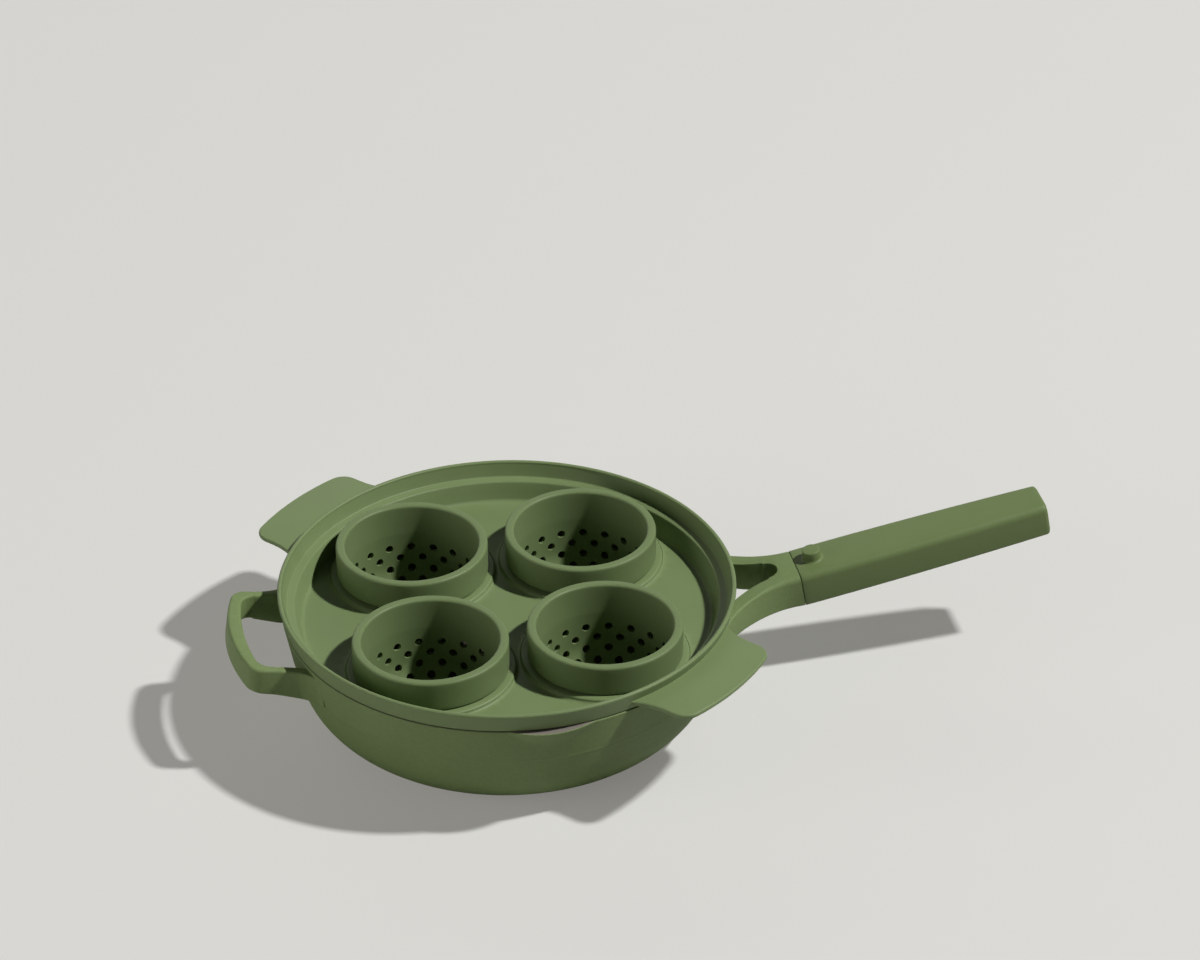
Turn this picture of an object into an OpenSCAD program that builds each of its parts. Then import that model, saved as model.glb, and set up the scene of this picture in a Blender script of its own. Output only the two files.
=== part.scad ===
/* [Pan bowl] */
// Outer diameter of the pan at its rim
rim_d = 266; // [250:1:290]
// Height of the pan from the table to its rim
pan_h = 68.5; // [64:0.5:75]
// Thickness of the cast wall
wall_t = 3.6; // [3:0.1:4.5]
// Thickness of the cast floor
floor_t = 4.5; // [4:0.1:6]
// Lean of the upper wall from upright, in degrees
upper_lean = 10.7; // [8:0.1:12]
// Lean of the lower wall from upright, in degrees
lower_lean = 13.8; // [12.5:0.1:16]
// Height of the faint casting line between the two walls
crease_z = 45; // [40:0.5:48]
// Outer radius of the curve from the wall to the base
corner_r = 38; // [30:0.5:40]
// Chamfer on the two edges of the pan's rim
rim_chamfer = 0.8; // [0.4:0.1:1.2]
// Depth to which the handles' roots reach into the wall, before the bowl is hollowed
root_depth = 12; // [10:0.5:14]

/* [Pouring spouts] */
// Outer radius of a spout's channel
spout_r = 55; // [45:1:65]
// Depth below the rim at which a spout leaves the wall
spout_depth = 12; // [9.5:0.5:15.5]
// Lean of a spout's channel from upright, in degrees
spout_lean = 29; // [24:0.5:34]
// Depth of the lip's dip below the rim
spout_dip = 4; // [2.5:0.1:5]
// Radius of the lip's dip
spout_dip_r = 62; // [50:1:80]

/* [Induction plate] */
// Diameter of the steel plate in the base
plate_d = 150; // [130:1:160]
// Thickness of the plate
plate_t = 1.2; // [1:0.1:1.6]
// Diameter of the cast studs that key the plate
stud_d = 6; // [4:0.5:8]
// Number of rings of studs
stud_rings = 3; // [2:1:3]
// Radial gap round the plate and its studs
plate_fit = 0.05; // [0.03:0.01:0.1]

/* [Helper loop] */
// Width across the loop's arms
loop_w = 84.6; // [76:0.5:92]
// Reach of the loop's bar from the pan's axis
loop_reach = 165.3; // [160:0.5:172]
// Radius of the bar's outer bow
loop_bow_r = 112; // [100:1:130]
// Radius of the bar's inner bow
loop_inner_bow_r = 150; // [120:1:200]
// Radius of the loop's outer corners
loop_corner_r = 9; // [8:0.5:12]
// Radius of the loop's inner corners
loop_inner_corner_r = 10; // [8:0.5:13]
// Width of the bar seen from above
loop_bar_w = 8.6; // [7.5:0.1:10]
// Width of an arm seen from above
loop_arm_w = 5.2; // [4.6:0.1:7]
// Reach at which an arm starts to flare towards the wall
loop_flare_x = 145; // [142:0.5:148]
// Radius of the hollow flare on an arm's outer side
loop_flare_r = 30; // [26:1:40]
// Radius of the loop's long edges
loop_edge_r = 1.8; // [1:0.1:2.2]
// Depth below the rim of the loop's top face at the wall
loop_drop = 1.7; // [0.6:0.1:4]
// Rise of the top face, in degrees
loop_rise = 8.5; // [5:0.5:11]
// Depth of the loop at the wall
loop_root_h = 20; // [17:0.5:22]
// Depth of the loop at its bar
loop_tip_h = 15.5; // [13:0.5:18]

/* [Handle neck] */
// Distance of the seam between neck and grip from the pan's axis
seam_x = 174.5; // [172:0.5:182]
// Height of the handle's top face above the rim at the seam
seam_lift = 0.1; // [-4:0.1:3]
// Rise of the handle, in degrees
handle_rise = 10; // [6:0.5:12]
// Width of the neck at the seam
neck_w = 31.6; // [28:0.2:32]
// Radius of the hollow flare of each arm's outer side
neck_flare_r = 53; // [52:1:60]
// Width of each arm of the fork
arm_w = 9; // [8:0.2:10]
// Radius of the round end of the gap in the fork
gap_end_r = 7.6; // [6.5:0.1:7.6]
// Distance from the gap's round end to the seam
gap_to_seam = 10.3; // [8:0.1:14]
// Distance from the seam at which the neck's sides start to flare
neck_straight = 2.5; // [1:0.5:6]
// Depth of the neck at its root in the wall
neck_root_h = 15; // [14:0.2:18]
// Radius of the neck's long edges where the fork meets the wall
neck_root_edge_r = 1.6; // [1:0.1:3]
// Length over which the neck's edges ease from the grip's radius
neck_ease = 28; // [20:1:40]

/* [Grip] */
// Length of the grip
grip_len = 155; // [130:1:175]
// Greatest width of the grip
grip_w = 32.4; // [32:0.2:36]
// Width of the grip at its free end
grip_end_w = 27; // [24:0.5:30]
// Depth of the grip at the seam
grip_h = 21.6; // [20.5:0.1:24]
// Depth of the grip at its free end
grip_end_h = 20.6; // [19:0.1:22]
// Radius of the grip's long edges
grip_edge_r = 4.5; // [3.5:0.1:6]
// Radius of the grip's closed end
grip_nose_r = 3.5; // [2.5:0.1:5]

/* [Spatula peg] */
// Diameter of the peg on the grip
peg_d = 10.8; // [9:0.1:12]
// Height of the peg above the grip
peg_h = 6.6; // [5:0.1:9]
// Distance of the peg's axis from the seam
peg_x = 11.5; // [10:0.5:18]
// Radius of the hollow fillet at the peg's foot
peg_fillet_r = 1.8; // [1:0.1:2.5]
// Chamfer on the peg's top edge
peg_chamfer = 0.8; // [0.3:0.1:1.2]

/* [Handle joint] */
// Width of the open seam between the neck and the grip
seam_gap = 0.4; // [0.2:0.1:0.6]
// Length of the cast tang inside the grip
tang_len = 46; // [42:1:60]
// Width of the tang
tang_w = 18; // [16:0.5:20]
// Thickness of the tang
tang_h = 8; // [7:0.5:9]
// Depth of the tang's top below the grip's top
tang_drop = 5.5; // [5:0.1:6]
// Gap between the tang and its pocket
tang_fit = 0.15; // [0.1:0.05:0.3]
// Diameter of the screw's shank
screw_d = 5; // [4:0.5:6]
// Distance of the screw's axis from the seam
screw_x = 30; // [26:1:34]
// Diameter of the screw's head
head_d = 9.5; // [9:0.1:10.5]
// Depth of the screw's head
head_h = 3; // [2.6:0.1:3.2]
// Chamfer on the edge of the screw's head
head_chamfer = 0.5; // [0.3:0.1:0.8]
// Depth by which the screw's end stays short of the tang's top
screw_short = 1; // [0.5:0.5:3]
// Width of the hexagonal socket in the head
hex_w = 3; // [2.5:0.5:4]
// Thickness of the lock washer
washer_t = 1.1; // [0.9:0.1:1.4]
// Width of the split in the lock washer
washer_split = 0.8; // [0.6:0.1:1.2]
// Thickness of the grip's floor under the screw's head
screw_seat_t = 2.4; // [2:0.1:2.8]
// Radial gap round the screw and its head
screw_fit = 0.3; // [0.2:0.05:0.4]
// Radial gap of the screw in the tang
thread_fit = 0.05; // [0.03:0.01:0.1]

/* [Poacher tray] */
// Outer diameter of the tray's rim
tray_d = 270; // [262:1:290]
// Height of the tray's rim above the pan's rim
band_h = 12.2; // [10:0.2:15]
// Taper of the rim's band from top to bottom, on the radius
band_taper = 2.5; // [1.5:0.1:3.5]
// Thickness of the tray's rim
tray_rim_t = 2.8; // [2.4:0.1:3.4]
// Depth of the ledge below the tray's rim
ledge_depth = 9.2; // [7:0.1:9.4]
// Width of the ledge
ledge_w = 4.6; // [4:0.1:5.5]
// Fall of the ledge towards the middle
ledge_fall = 1; // [0.5:0.1:1.2]
// Depth of the tray's floor below its rim
tray_depth = 22; // [20:0.5:25]
// Thickness of the tray's floor
tray_floor_t = 2.4; // [2:0.1:3]
// Lean of the tray's inner wall, in degrees
tray_wall_lean = 18; // [12:1:22]
// Radius of the fillet round the tray's floor
tray_fillet_r = 3; // [2:0.1:4]
// Gap between pieces that rest on each other
seat_gap = 0.3; // [0.2:0.05:0.4]
// Turn of the tray in the pan, in degrees
tray_turn = -4; // [-8:1:4]

/* [Tray tabs] */
// Reach of a tab from the tray's axis
tab_reach = 165.5; // [160:0.5:172]
// Width of a tab between its straight sides
tab_w = 84; // [76:1:92]
// Radius of a tab's outer corners
tab_corner_r = 11; // [8:0.5:14]
// Radius of the hollow flare from a tab into the rim
tab_flare_r = 44; // [36:1:52]
// Length over which a tab flares, measured back from its corners
tab_flare_back = 5.5; // [4:0.5:8]
// Thickness of a tab
tab_t = 3; // [2.4:0.1:4]
// Depth of a tab's top below the tray's rim
tab_drop = 6; // [5:0.2:7]

/* [Cups] */
// Distance of each cup's axis from the tray's axis
cup_circle_r = 72; // [70:0.5:73]
// Inner radius of a cup at its lip
cup_mouth_r = 39.9; // [38:0.1:40.4]
// Outer radius of a cup's thick upper wall
cup_outer_r = 45.4; // [44.8:0.1:46]
// Inner radius of a cup's perforated wall
cup_bore_r = 38.9; // [37:0.1:39.2]
// Thickness of a cup's perforated wall and bottom
cup_t = 2.4; // [2:0.1:2.6]
// Height of a cup's upper wall above the tray's collar
cup_upper_h = 18.9; // [16:0.1:20]
// Depth of a cup inside
cup_depth = 60; // [56:0.5:64]
// Inner radius of the curve from a cup's wall to its bottom
cup_corner_r = 20; // [16:0.5:22]
// Radial gap between a cup and its hole in the tray
cup_fit = 0.5; // [0.3:0.05:0.6]
// Radius on the lower edge of a cup's thick wall
cup_foot_r = 1.2; // [0.8:0.1:1.6]
// Height of the raised collar round each hole
collar_h = 2.5; // [1.5:0.1:3]
// Outer radius of the collar
collar_r = 49.4; // [48.5:0.1:49.8]
// Radius of the collar's rounded edge
collar_edge_r = 1.4; // [0.8:0.1:1.5]

// Free turn of each cup in its hole, from the back right one round to the left, in degrees
cup_turns = [17.1, 19.8, 9.2, 16.2]; // [0:0.1:20]

/* [Drain holes] */
// Diameter of a drain hole
hole_d = 4.3; // [3:0.1:5]
// Distance from the lip to the first row, along the wall
row_start = 26.6; // [25:0.1:28]
// Distance between rows, along the wall
row_pitch = 7.4; // [7:0.1:7.8]
// Number of rows on a cup's wall and the upper part of its curve
wall_rows = 5; // [4:1:5]
// Number of holes in each of those rows
wall_row_holes = 18; // [12:1:20]
// Number of holes in the three rows towards the bottom
floor_row_holes = [12, 12, 6]; // [4:1:14]

/* [Hidden] */
$fn = 96;
coat_green = [0.40, 0.46, 0.31];
grip_green = [0.36, 0.42, 0.27];
soft_green = [0.46, 0.53, 0.37];
steel_grey = [0.75, 0.75, 0.76];
overcut = 1;

rim_r = rim_d / 2;
spout_foot_z = pan_h - spout_depth;
loop_top_z = pan_h - loop_drop;
seam_z = pan_h + seam_lift;
crease_r = rim_r - (pan_h - crease_z) * tan(upper_lean);
root_x = rim_r - root_depth;
slot_x = seam_x - gap_to_seam - gap_end_r;
neck_run = (seam_x - root_x) / cos(handle_rise);

tray_top = pan_h + seat_gap + band_h;
tray_r = tray_d / 2;
tray_floor = tray_top - tray_depth;
collar_top = tray_floor + collar_h;
cup_shoulder = collar_top + seat_gap;
cup_lip = cup_shoulder + cup_upper_h;
cup_body_r = cup_bore_r + cup_t;
cup_hole_r = cup_body_r + cup_fit;
cup_straight = cup_depth - cup_corner_r;
cup_floor = cup_lip - cup_depth;
row_counts = concat([for (k = [1:wall_rows]) wall_row_holes], floor_row_holes);

screw_seat = tang_drop + tang_h + tang_fit + screw_seat_t;

// Outer radius of the pan's wall at height z
function wall_r(z) =
    z > crease_z
        ? rim_r - (pan_h - z) * tan(upper_lean)
        : crease_r - (crease_z - z) * tan(lower_lean);

// Half section of the bowl, drawn in by inset, from its floor up to its top
module bowl_section(inset, floor_z, top_z) {
    r = corner_r - inset;
    turn_z = floor_z + r;
    turn_r = wall_r(turn_z) - inset - r / cos(lower_lean);
    polygon([
        [0, floor_z],
        [turn_r, floor_z],
        [turn_r + r * cos(lower_lean), turn_z - r * sin(lower_lean)],
        [crease_r - inset, crease_z],
        [wall_r(top_z) - inset, top_z],
        [0, top_z]
    ]);
    intersection() {
        translate([turn_r, turn_z]) circle(r = r);
        translate([turn_r, floor_z]) square([r, r]);
    }
}

// Chamfer cutter for one edge of the rim, on the side that dir points to
module rim_cut(r, dir) {
    rotate_extrude($fn = 240) {
        polygon([
            [r - dir * rim_chamfer, pan_h + overcut],
            [r - dir * rim_chamfer, pan_h],
            [r, pan_h - rim_chamfer],
            [r + dir * overcut, pan_h - rim_chamfer],
            [r + dir * overcut, pan_h + overcut]
        ]);
    }
}

// Tilted cylinder that forms one face of a spout, at the +X side
module spout_channel(r) {
    intersection() {
        translate([wall_r(spout_foot_z), 0, spout_foot_z])
            rotate([0, spout_lean, 0])
            translate([-spout_r, 0, 0])
            cylinder(r = r, h = 4 * pan_h, center = true);
        translate([rim_r / 2, -rim_r / 2, crease_z]) cube([rim_r, rim_r, pan_h]);
    }
}

module spout_outside() {
    intersection() {
        spout_channel(spout_r);
        cylinder(r = 2 * rim_r, h = pan_h);
    }
}

module spout_inside() {
    spout_channel(spout_r - wall_t);
    translate([rim_r / 2, 0, pan_h - spout_dip + spout_dip_r])
        rotate([0, 90, 0])
        cylinder(r = spout_dip_r, h = rim_r);
}

module at_spouts() {
    for (side = [-90, 90]) rotate([0, 0, side]) children();
}

// Rounded rectangle from top down to bottom, as [across, height] points in order round it
function soft_section(half_w, top, bottom, r) = [
    for (corner = [0:3])
        for (step = [0:4])
            let (
                a = corner * 90 + step * 22.5,
                across = (corner == 0 || corner == 3 ? 1 : -1) * (half_w - r),
                height = corner < 2 ? top - r : bottom + r
            )
            [across + r * cos(a), height + r * sin(a)]
];

// Closed loft over rings of equal length
module loft(rings) {
    n = len(rings[0]);
    m = len(rings);
    polyhedron(
        points = [for (ring = rings) for (p = ring) p],
        faces = concat(
            [[for (k = [0:n - 1]) k]],
            [
                for (j = [0:m - 2])
                    for (k = [0:n - 1])
                        [j * n + k, (j + 1) * n + k, (j + 1) * n + (k + 1) % n, j * n + (k + 1) % n]
            ],
            [[for (k = [n - 1:-1:0]) (m - 1) * n + k]]
        ),
        convexity = 4
    );
}

// Half outline of a loop from the middle of its bar, round one corner and down one arm
function loop_line(half_w, reach, bow_r, corner, flare_r) =
    let (
        bow_x = reach - bow_r,
        corner_y = half_w - corner,
        bow_a = asin(corner_y / (bow_r - corner)),
        corner_x = bow_x + (bow_r - corner) * cos(bow_a),
        flare_a = asin((loop_flare_x - root_x) / flare_r)
    )
    concat(
        [for (k = [0:4]) [bow_x + bow_r * cos(bow_a * k / 4), bow_r * sin(bow_a * k / 4)]],
        [
            for (k = [1:5])
                let (a = bow_a + (90 - bow_a) * k / 5)
                [corner_x + corner * cos(a), corner_y + corner * sin(a)]
        ],
        [
            for (k = [0:4])
                let (a = flare_a * k / 4)
                [loop_flare_x - flare_r * sin(a), half_w + flare_r * (1 - cos(a))]
        ]
    );

// Section of the loop between its outer and inner lines, with its top face at height 0
function loop_ring(outer, inner) =
    let (
        w = norm(inner - outer),
        to_wall = min(1, max(0, (loop_reach - outer[0]) / (loop_reach - rim_r))),
        depth = loop_tip_h + (loop_root_h - loop_tip_h) * pow(to_wall, 2)
    )
    [
        for (p = soft_section(w / 2, 0, -depth, loop_edge_r))
            let (q = outer + (inner - outer) * (p[0] / w + 0.5))
            [q[0], q[1], p[1]]
    ];

module helper_loop() {
    outer = loop_line(loop_w / 2, loop_reach, loop_bow_r, loop_corner_r, loop_flare_r);
    inner = loop_line(
        loop_w / 2 - loop_arm_w,
        loop_reach - loop_bar_w,
        loop_inner_bow_r,
        loop_inner_corner_r,
        2 * loop_flare_r
    );
    last = len(outer) - 1;
    flip = [[1, 0], [0, -1]];
    rotate([0, 0, 180])
        translate([rim_r, 0, loop_top_z])
        rotate([0, -loop_rise, 0])
        translate([-rim_r, 0, 0])
        loft(concat(
            [for (k = [last:-1:1]) loop_ring(outer[k] * flip, inner[k] * flip)],
            [for (k = [0:last]) loop_ring(outer[k], inner[k])]
        ));
}

// Half width of the neck at distance x before the seam
function neck_half_w(x) =
    let (run = max(0, x - neck_straight))
    neck_w / 2 + neck_flare_r - sqrt(pow(neck_flare_r, 2) - run * run);

// Section of the neck at distance x before the seam, in the handle's frame
function neck_ring(x) =
    let (
        ease = min(1, x / neck_ease),
        r = grip_edge_r + (neck_root_edge_r - grip_edge_r) * ease,
        bottom = -grip_h + (grip_h - neck_root_h) * x / neck_run
    )
    [for (p = soft_section(neck_half_w(x), 0, bottom, r)) [-x, p[0], p[1]]];

// Plan of the gap between the arms, with its round end towards the seam
module neck_gap() {
    flare_x = seam_x - neck_straight;
    half_w = neck_half_w(neck_run);
    difference() {
        translate([root_x - overcut, -half_w]) square([slot_x - root_x + overcut, 2 * half_w]);
        for (side = [-1, 1])
            translate([flare_x, side * (neck_w / 2 + neck_flare_r)])
                circle(r = neck_flare_r + arm_w, $fn = 180);
    }
    translate([slot_x, 0]) circle(r = gap_end_r);
}

module fork_neck() {
    difference() {
        at_handle() loft([for (k = [16:-1:0]) neck_ring(neck_run * k / 16)]);
        linear_extrude(height = 2 * pan_h) neck_gap();
    }
}

// Frame of the handle: X runs along it from the seam, Z is 0 on its top face
module at_handle() {
    translate([seam_x, 0, seam_z]) rotate([0, -handle_rise, 0]) children();
}

// Upright axis through the screw in the handle's own frame
module at_screw() {
    at_handle() translate([screw_x, 0, 0]) children();
}

module tang() {
    root = gap_to_seam / 2;
    at_handle()
        translate([-root, -tang_w / 2, -tang_drop - tang_h])
        cube([tang_len + root, tang_w, tang_h]);
}

// Rings of studs that fill the holes in the induction plate
module plate_studs(d, h) {
    ring_step = plate_d / 2 / (stud_rings + 0.5);
    for (ring = [1:stud_rings])
        for (k = [0:6 * ring - 1])
            rotate([0, 0, k * 60 / ring])
                translate([ring * ring_step, 0, 0])
                cylinder(d = d, h = h, $fn = 32);
}

module pan_body() {
    color(coat_green) {
        difference() {
            union() {
                rotate_extrude($fn = 240) bowl_section(0, 0, pan_h);
                at_spouts() spout_outside();
                helper_loop();
                fork_neck();
                tang();
            }
            rotate_extrude($fn = 240) bowl_section(wall_t, floor_t, pan_h + 3 * overcut);
            at_spouts() spout_inside();
            cylinder(d = plate_d + 2 * plate_fit, h = 2 * plate_t, center = true);
            rim_cut(rim_r, 1);
            rim_cut(rim_r - wall_t, -1);
            at_screw()
                translate([0, 0, -tang_drop - tang_h - overcut])
                cylinder(d = screw_d + 2 * thread_fit, h = tang_h + 2 * overcut);
        }
        plate_studs(stud_d, plate_t + overcut);
    }
}

module induction_plate() {
    color(steel_grey)
        difference() {
            cylinder(d = plate_d, h = plate_t);
            translate([0, 0, -overcut])
                plate_studs(stud_d + 2 * plate_fit, plate_t + 2 * overcut);
        }
}

// Half width of the grip at distance x from the seam, bowed on a long arc
function grip_half_w(x) =
    let (crown_x = grip_len / 5, fall = (grip_w - grip_end_w) / 2)
    grip_w / 2 - fall * pow((x - crown_x) / (grip_len - crown_x), 2);

// Depth of the grip at distance x from the seam
function grip_depth(x) = grip_h + (grip_end_h - grip_h) * x / grip_len;

// How far the section has drawn in at x on the closed end's round
function nose_inset(x) =
    let (d = x - (grip_len - grip_nose_r))
    d > 0 ? grip_nose_r - sqrt(max(0, grip_nose_r * grip_nose_r - d * d)) : 0;

// Section of the grip at distance x from the seam, in the handle's frame
function grip_ring(x) =
    let (inset = nose_inset(x), half_w = grip_half_w(x) - inset)
    [for (p = soft_section(half_w, -inset, inset - grip_depth(x), grip_edge_r)) [x, p[0], p[1]]];

module grip_shell() {
    run = grip_len - grip_nose_r;
    stations = concat(
        [for (k = [0:10]) seam_gap + (run - seam_gap) * k / 10],
        [for (a = [18:18:72]) run + grip_nose_r * sin(a)],
        [grip_len]
    );
    loft([for (x = stations) grip_ring(x)]);
}

// Peg with a chamfered top edge and a hollow fillet at its foot
module peg() {
    rotate_extrude() {
        difference() {
            translate([0, -grip_edge_r])
                square([peg_d / 2 + peg_fillet_r, grip_edge_r + peg_fillet_r]);
            translate([peg_d / 2 + peg_fillet_r, peg_fillet_r]) circle(r = peg_fillet_r, $fn = 48);
        }
        polygon([
            [0, 0],
            [peg_d / 2, 0],
            [peg_d / 2, peg_h - peg_chamfer],
            [peg_d / 2 - peg_chamfer, peg_h],
            [0, peg_h]
        ]);
    }
}

module handle_grip() {
    color(grip_green)
        at_handle()
        difference() {
            union() {
                grip_shell();
                translate([peg_x, 0, 0]) peg();
            }
            translate([-overcut, -tang_w / 2 - tang_fit, -tang_drop - tang_h - tang_fit])
                cube([
                    overcut + tang_len + tang_fit,
                    tang_w + 2 * tang_fit,
                    tang_h + 2 * tang_fit
                ]);
            translate([screw_x, 0, -grip_h - overcut])
                cylinder(d = head_d + 2 * screw_fit, h = grip_h + overcut - screw_seat);
            translate([screw_x, 0, -screw_seat - overcut])
                cylinder(d = screw_d + 2 * screw_fit, h = screw_seat_t + 2 * overcut);
        }
}

module grip_screw() {
    under_head = screw_seat + washer_t;
    color(steel_grey)
        at_screw()
        difference() {
            union() {
                translate([0, 0, -under_head - head_h])
                    cylinder(d1 = head_d - 2 * head_chamfer, d2 = head_d, h = head_chamfer);
                translate([0, 0, -under_head - head_h + head_chamfer])
                    cylinder(d = head_d, h = head_h - head_chamfer);
                translate([0, 0, -under_head])
                    cylinder(d = screw_d, h = under_head - tang_drop - screw_short);
            }
            translate([0, 0, -under_head - head_h - overcut])
                cylinder(d = hex_w / cos(30), h = head_h / 2 + overcut, $fn = 6);
        }
}

module lock_washer() {
    color(steel_grey)
        at_screw()
        translate([0, 0, -screw_seat - washer_t])
        difference() {
            cylinder(d = head_d - head_chamfer, h = washer_t);
            translate([0, 0, -overcut])
                cylinder(d = screw_d + screw_fit, h = washer_t + 2 * overcut);
            translate([0, -washer_split / 2, -overcut])
                cube([head_d, washer_split, washer_t + 2 * overcut]);
        }
}

// Half section of the tray from its axis to the rim
module tray_section() {
    rim_mid = tray_r - tray_rim_t / 2;
    ledge_r = tray_r - band_taper - tray_rim_t;
    ledge_top = tray_top - ledge_depth;
    ledge_in = ledge_r - ledge_w;
    seat_z = pan_h + seat_gap;
    fall = tan(tray_wall_lean);
    wall_foot = ledge_in - (ledge_top - ledge_fall - tray_floor) * fall;
    plug_top = ledge_in + tray_floor_t;
    plug_foot = plug_top - (seat_z - tray_floor + tray_floor_t) * fall;
    f = tray_fillet_r;
    difference() {
        union() {
            polygon([
                [0, tray_floor - tray_floor_t],
                [plug_foot - f, tray_floor - tray_floor_t],
                [plug_foot, tray_floor - tray_floor_t + f],
                [plug_top, seat_z],
                [tray_r - band_taper, seat_z],
                [tray_r, tray_top - tray_rim_t / 2],
                [tray_r - tray_rim_t, tray_top - tray_rim_t / 2],
                [ledge_r, ledge_top],
                [ledge_in, ledge_top - ledge_fall],
                [wall_foot, tray_floor + f],
                [wall_foot - f, tray_floor],
                [0, tray_floor]
            ]);
            translate([rim_mid, tray_top - tray_rim_t / 2]) circle(d = tray_rim_t, $fn = 48);
        }
        translate([wall_foot - f, tray_floor + f]) circle(r = f, $fn = 48);
    }
}

// Plan of one tab with its corners and hollow flares, reaching out along +X
module tab_plan() {
    corner_y = tab_w / 2 - tab_corner_r;
    corner_rad = tab_reach - tab_corner_r;
    corner_a = asin(corner_y / corner_rad);
    corner_x = corner_rad * cos(corner_a);
    inner_r = tray_r - band_taper - tray_rim_t / 2;
    root_half_w = tab_w / 2 + tab_flare_r / 4;
    start_x = sqrt(pow(inner_r, 2) - pow(root_half_w, 2));
    flare_x = corner_x - tab_flare_back;
    difference() {
        union() {
            translate([start_x, -tab_w / 2]) square([corner_x - start_x, tab_w]);
            intersection() {
                circle(r = tab_reach, $fn = 240);
                polygon([
                    [0, 0],
                    [2 * corner_x, -2 * corner_y],
                    [2 * corner_x, 2 * corner_y]
                ]);
            }
            for (side = [-1, 1]) translate([corner_x, side * corner_y]) circle(r = tab_corner_r);
            difference() {
                translate([start_x, -root_half_w]) square([flare_x - start_x, 2 * root_half_w]);
                for (side = [-1, 1])
                    translate([flare_x, side * (tab_w / 2 + tab_flare_r)])
                        circle(r = tab_flare_r, $fn = 180);
            }
        }
        circle(r = inner_r, $fn = 240);
    }
}

// Direction of a cup from the tray's axis, from the back right one round to the left
function cup_angle(index) = 45 + 90 * index + tray_turn;

module at_cup(index) {
    rotate([0, 0, cup_angle(index)]) translate([cup_circle_r, 0, 0]) children();
}

module collar() {
    rotate_extrude() {
        polygon([
            [cup_hole_r - overcut, tray_floor - tray_floor_t],
            [collar_r, tray_floor - tray_floor_t],
            [collar_r, collar_top - collar_edge_r],
            [collar_r - collar_edge_r, collar_top],
            [cup_hole_r - overcut, collar_top]
        ]);
        translate([collar_r - collar_edge_r, collar_top - collar_edge_r])
            circle(r = collar_edge_r, $fn = 48);
    }
}

module poacher_tray() {
    hole_h = collar_h + tray_floor_t + 2 * overcut;
    color(soft_green)
        difference() {
            union() {
                rotate_extrude($fn = 240) tray_section();
                for (index = [1, 3])
                    rotate([0, 0, cup_angle(index)])
                        translate([0, 0, tray_top - tab_drop - tab_t])
                        linear_extrude(height = tab_t) tab_plan();
                for (index = [0:3]) at_cup(index) collar();
            }
            for (index = [0:3])
                at_cup(index)
                    translate([0, 0, tray_floor - tray_floor_t - overcut])
                    cylinder(r = cup_hole_r, h = hole_h);
        }
}

// Closed half section of a cup's perforated part, drawn in by inset
module cup_pocket(inset) {
    r = cup_corner_r + cup_t - inset;
    turn_z = cup_lip - cup_straight;
    body_r = cup_body_r - inset;
    translate([0, turn_z]) square([body_r, cup_shoulder - turn_z]);
    translate([0, turn_z - r]) square([body_r - r, r]);
    intersection() {
        translate([body_r - r, turn_z]) circle(r = r);
        translate([body_r - r, turn_z - r]) square([r, r]);
    }
}

module cup_section() {
    lip_t = cup_outer_r - cup_mouth_r;
    lip_z = cup_lip - lip_t / 2;
    difference() {
        union() {
            cup_pocket(0);
            polygon([
                [0, cup_shoulder],
                [cup_outer_r - cup_foot_r, cup_shoulder],
                [cup_outer_r, cup_shoulder + cup_foot_r],
                [cup_outer_r, lip_z],
                [0, lip_z]
            ]);
            translate([cup_outer_r - cup_foot_r, cup_shoulder + cup_foot_r])
                circle(r = cup_foot_r, $fn = 48);
            translate([cup_outer_r - lip_t / 2, lip_z]) circle(d = lip_t, $fn = 48);
        }
        cup_pocket(cup_t);
        polygon([
            [0, cup_shoulder - overcut],
            [cup_bore_r, cup_shoulder - overcut],
            [cup_bore_r, cup_shoulder],
            [cup_mouth_r, lip_z],
            [0, lip_z]
        ]);
    }
}

// Place on the inner face at distance s below the lip: radius, height and tilt
function row_place(s) =
    let (
        bend = cup_corner_r * PI / 2,
        a = min(90, max(0, (s - cup_straight) / bend * 90)),
        flat_run = max(0, s - cup_straight - bend),
        z = s < cup_straight ? cup_lip - s : cup_lip - cup_straight - cup_corner_r * sin(a)
    )
    [cup_bore_r - cup_corner_r + cup_corner_r * cos(a) - flat_run, z, a];

module drain_holes() {
    for (row = [0:len(row_counts) - 1])
        let (
            place = row_place(row_start + row * row_pitch),
            n = row_counts[row],
            stagger = (row % 2) * 180 / n
        )
        for (k = [0:n - 1])
            rotate([0, 0, stagger + k * 360 / n])
                translate([place[0], 0, place[1]])
                rotate([0, 90 + place[2], 0])
                cylinder(d = hole_d, h = 4 * cup_t, center = true, $fn = 24);
    translate([0, 0, cup_floor]) cylinder(d = hole_d, h = 4 * cup_t, center = true, $fn = 24);
}

module cup(index) {
    color(soft_green)
        at_cup(index)
        rotate([0, 0, cup_turns[index] - cup_angle(index)])
        difference() {
            rotate_extrude() cup_section();
            drain_holes();
        }
}

pan_body();
induction_plate();
handle_grip();
grip_screw();
lock_washer();
poacher_tray();
cup(0);  // cup_back_right
cup(1);  // cup_back_left
cup(2);  // cup_front_left
cup(3);  // cup_front_right
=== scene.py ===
"""Looks for the egg poacher pan: smooth meshes, finishes, table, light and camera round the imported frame."""

import math

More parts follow.
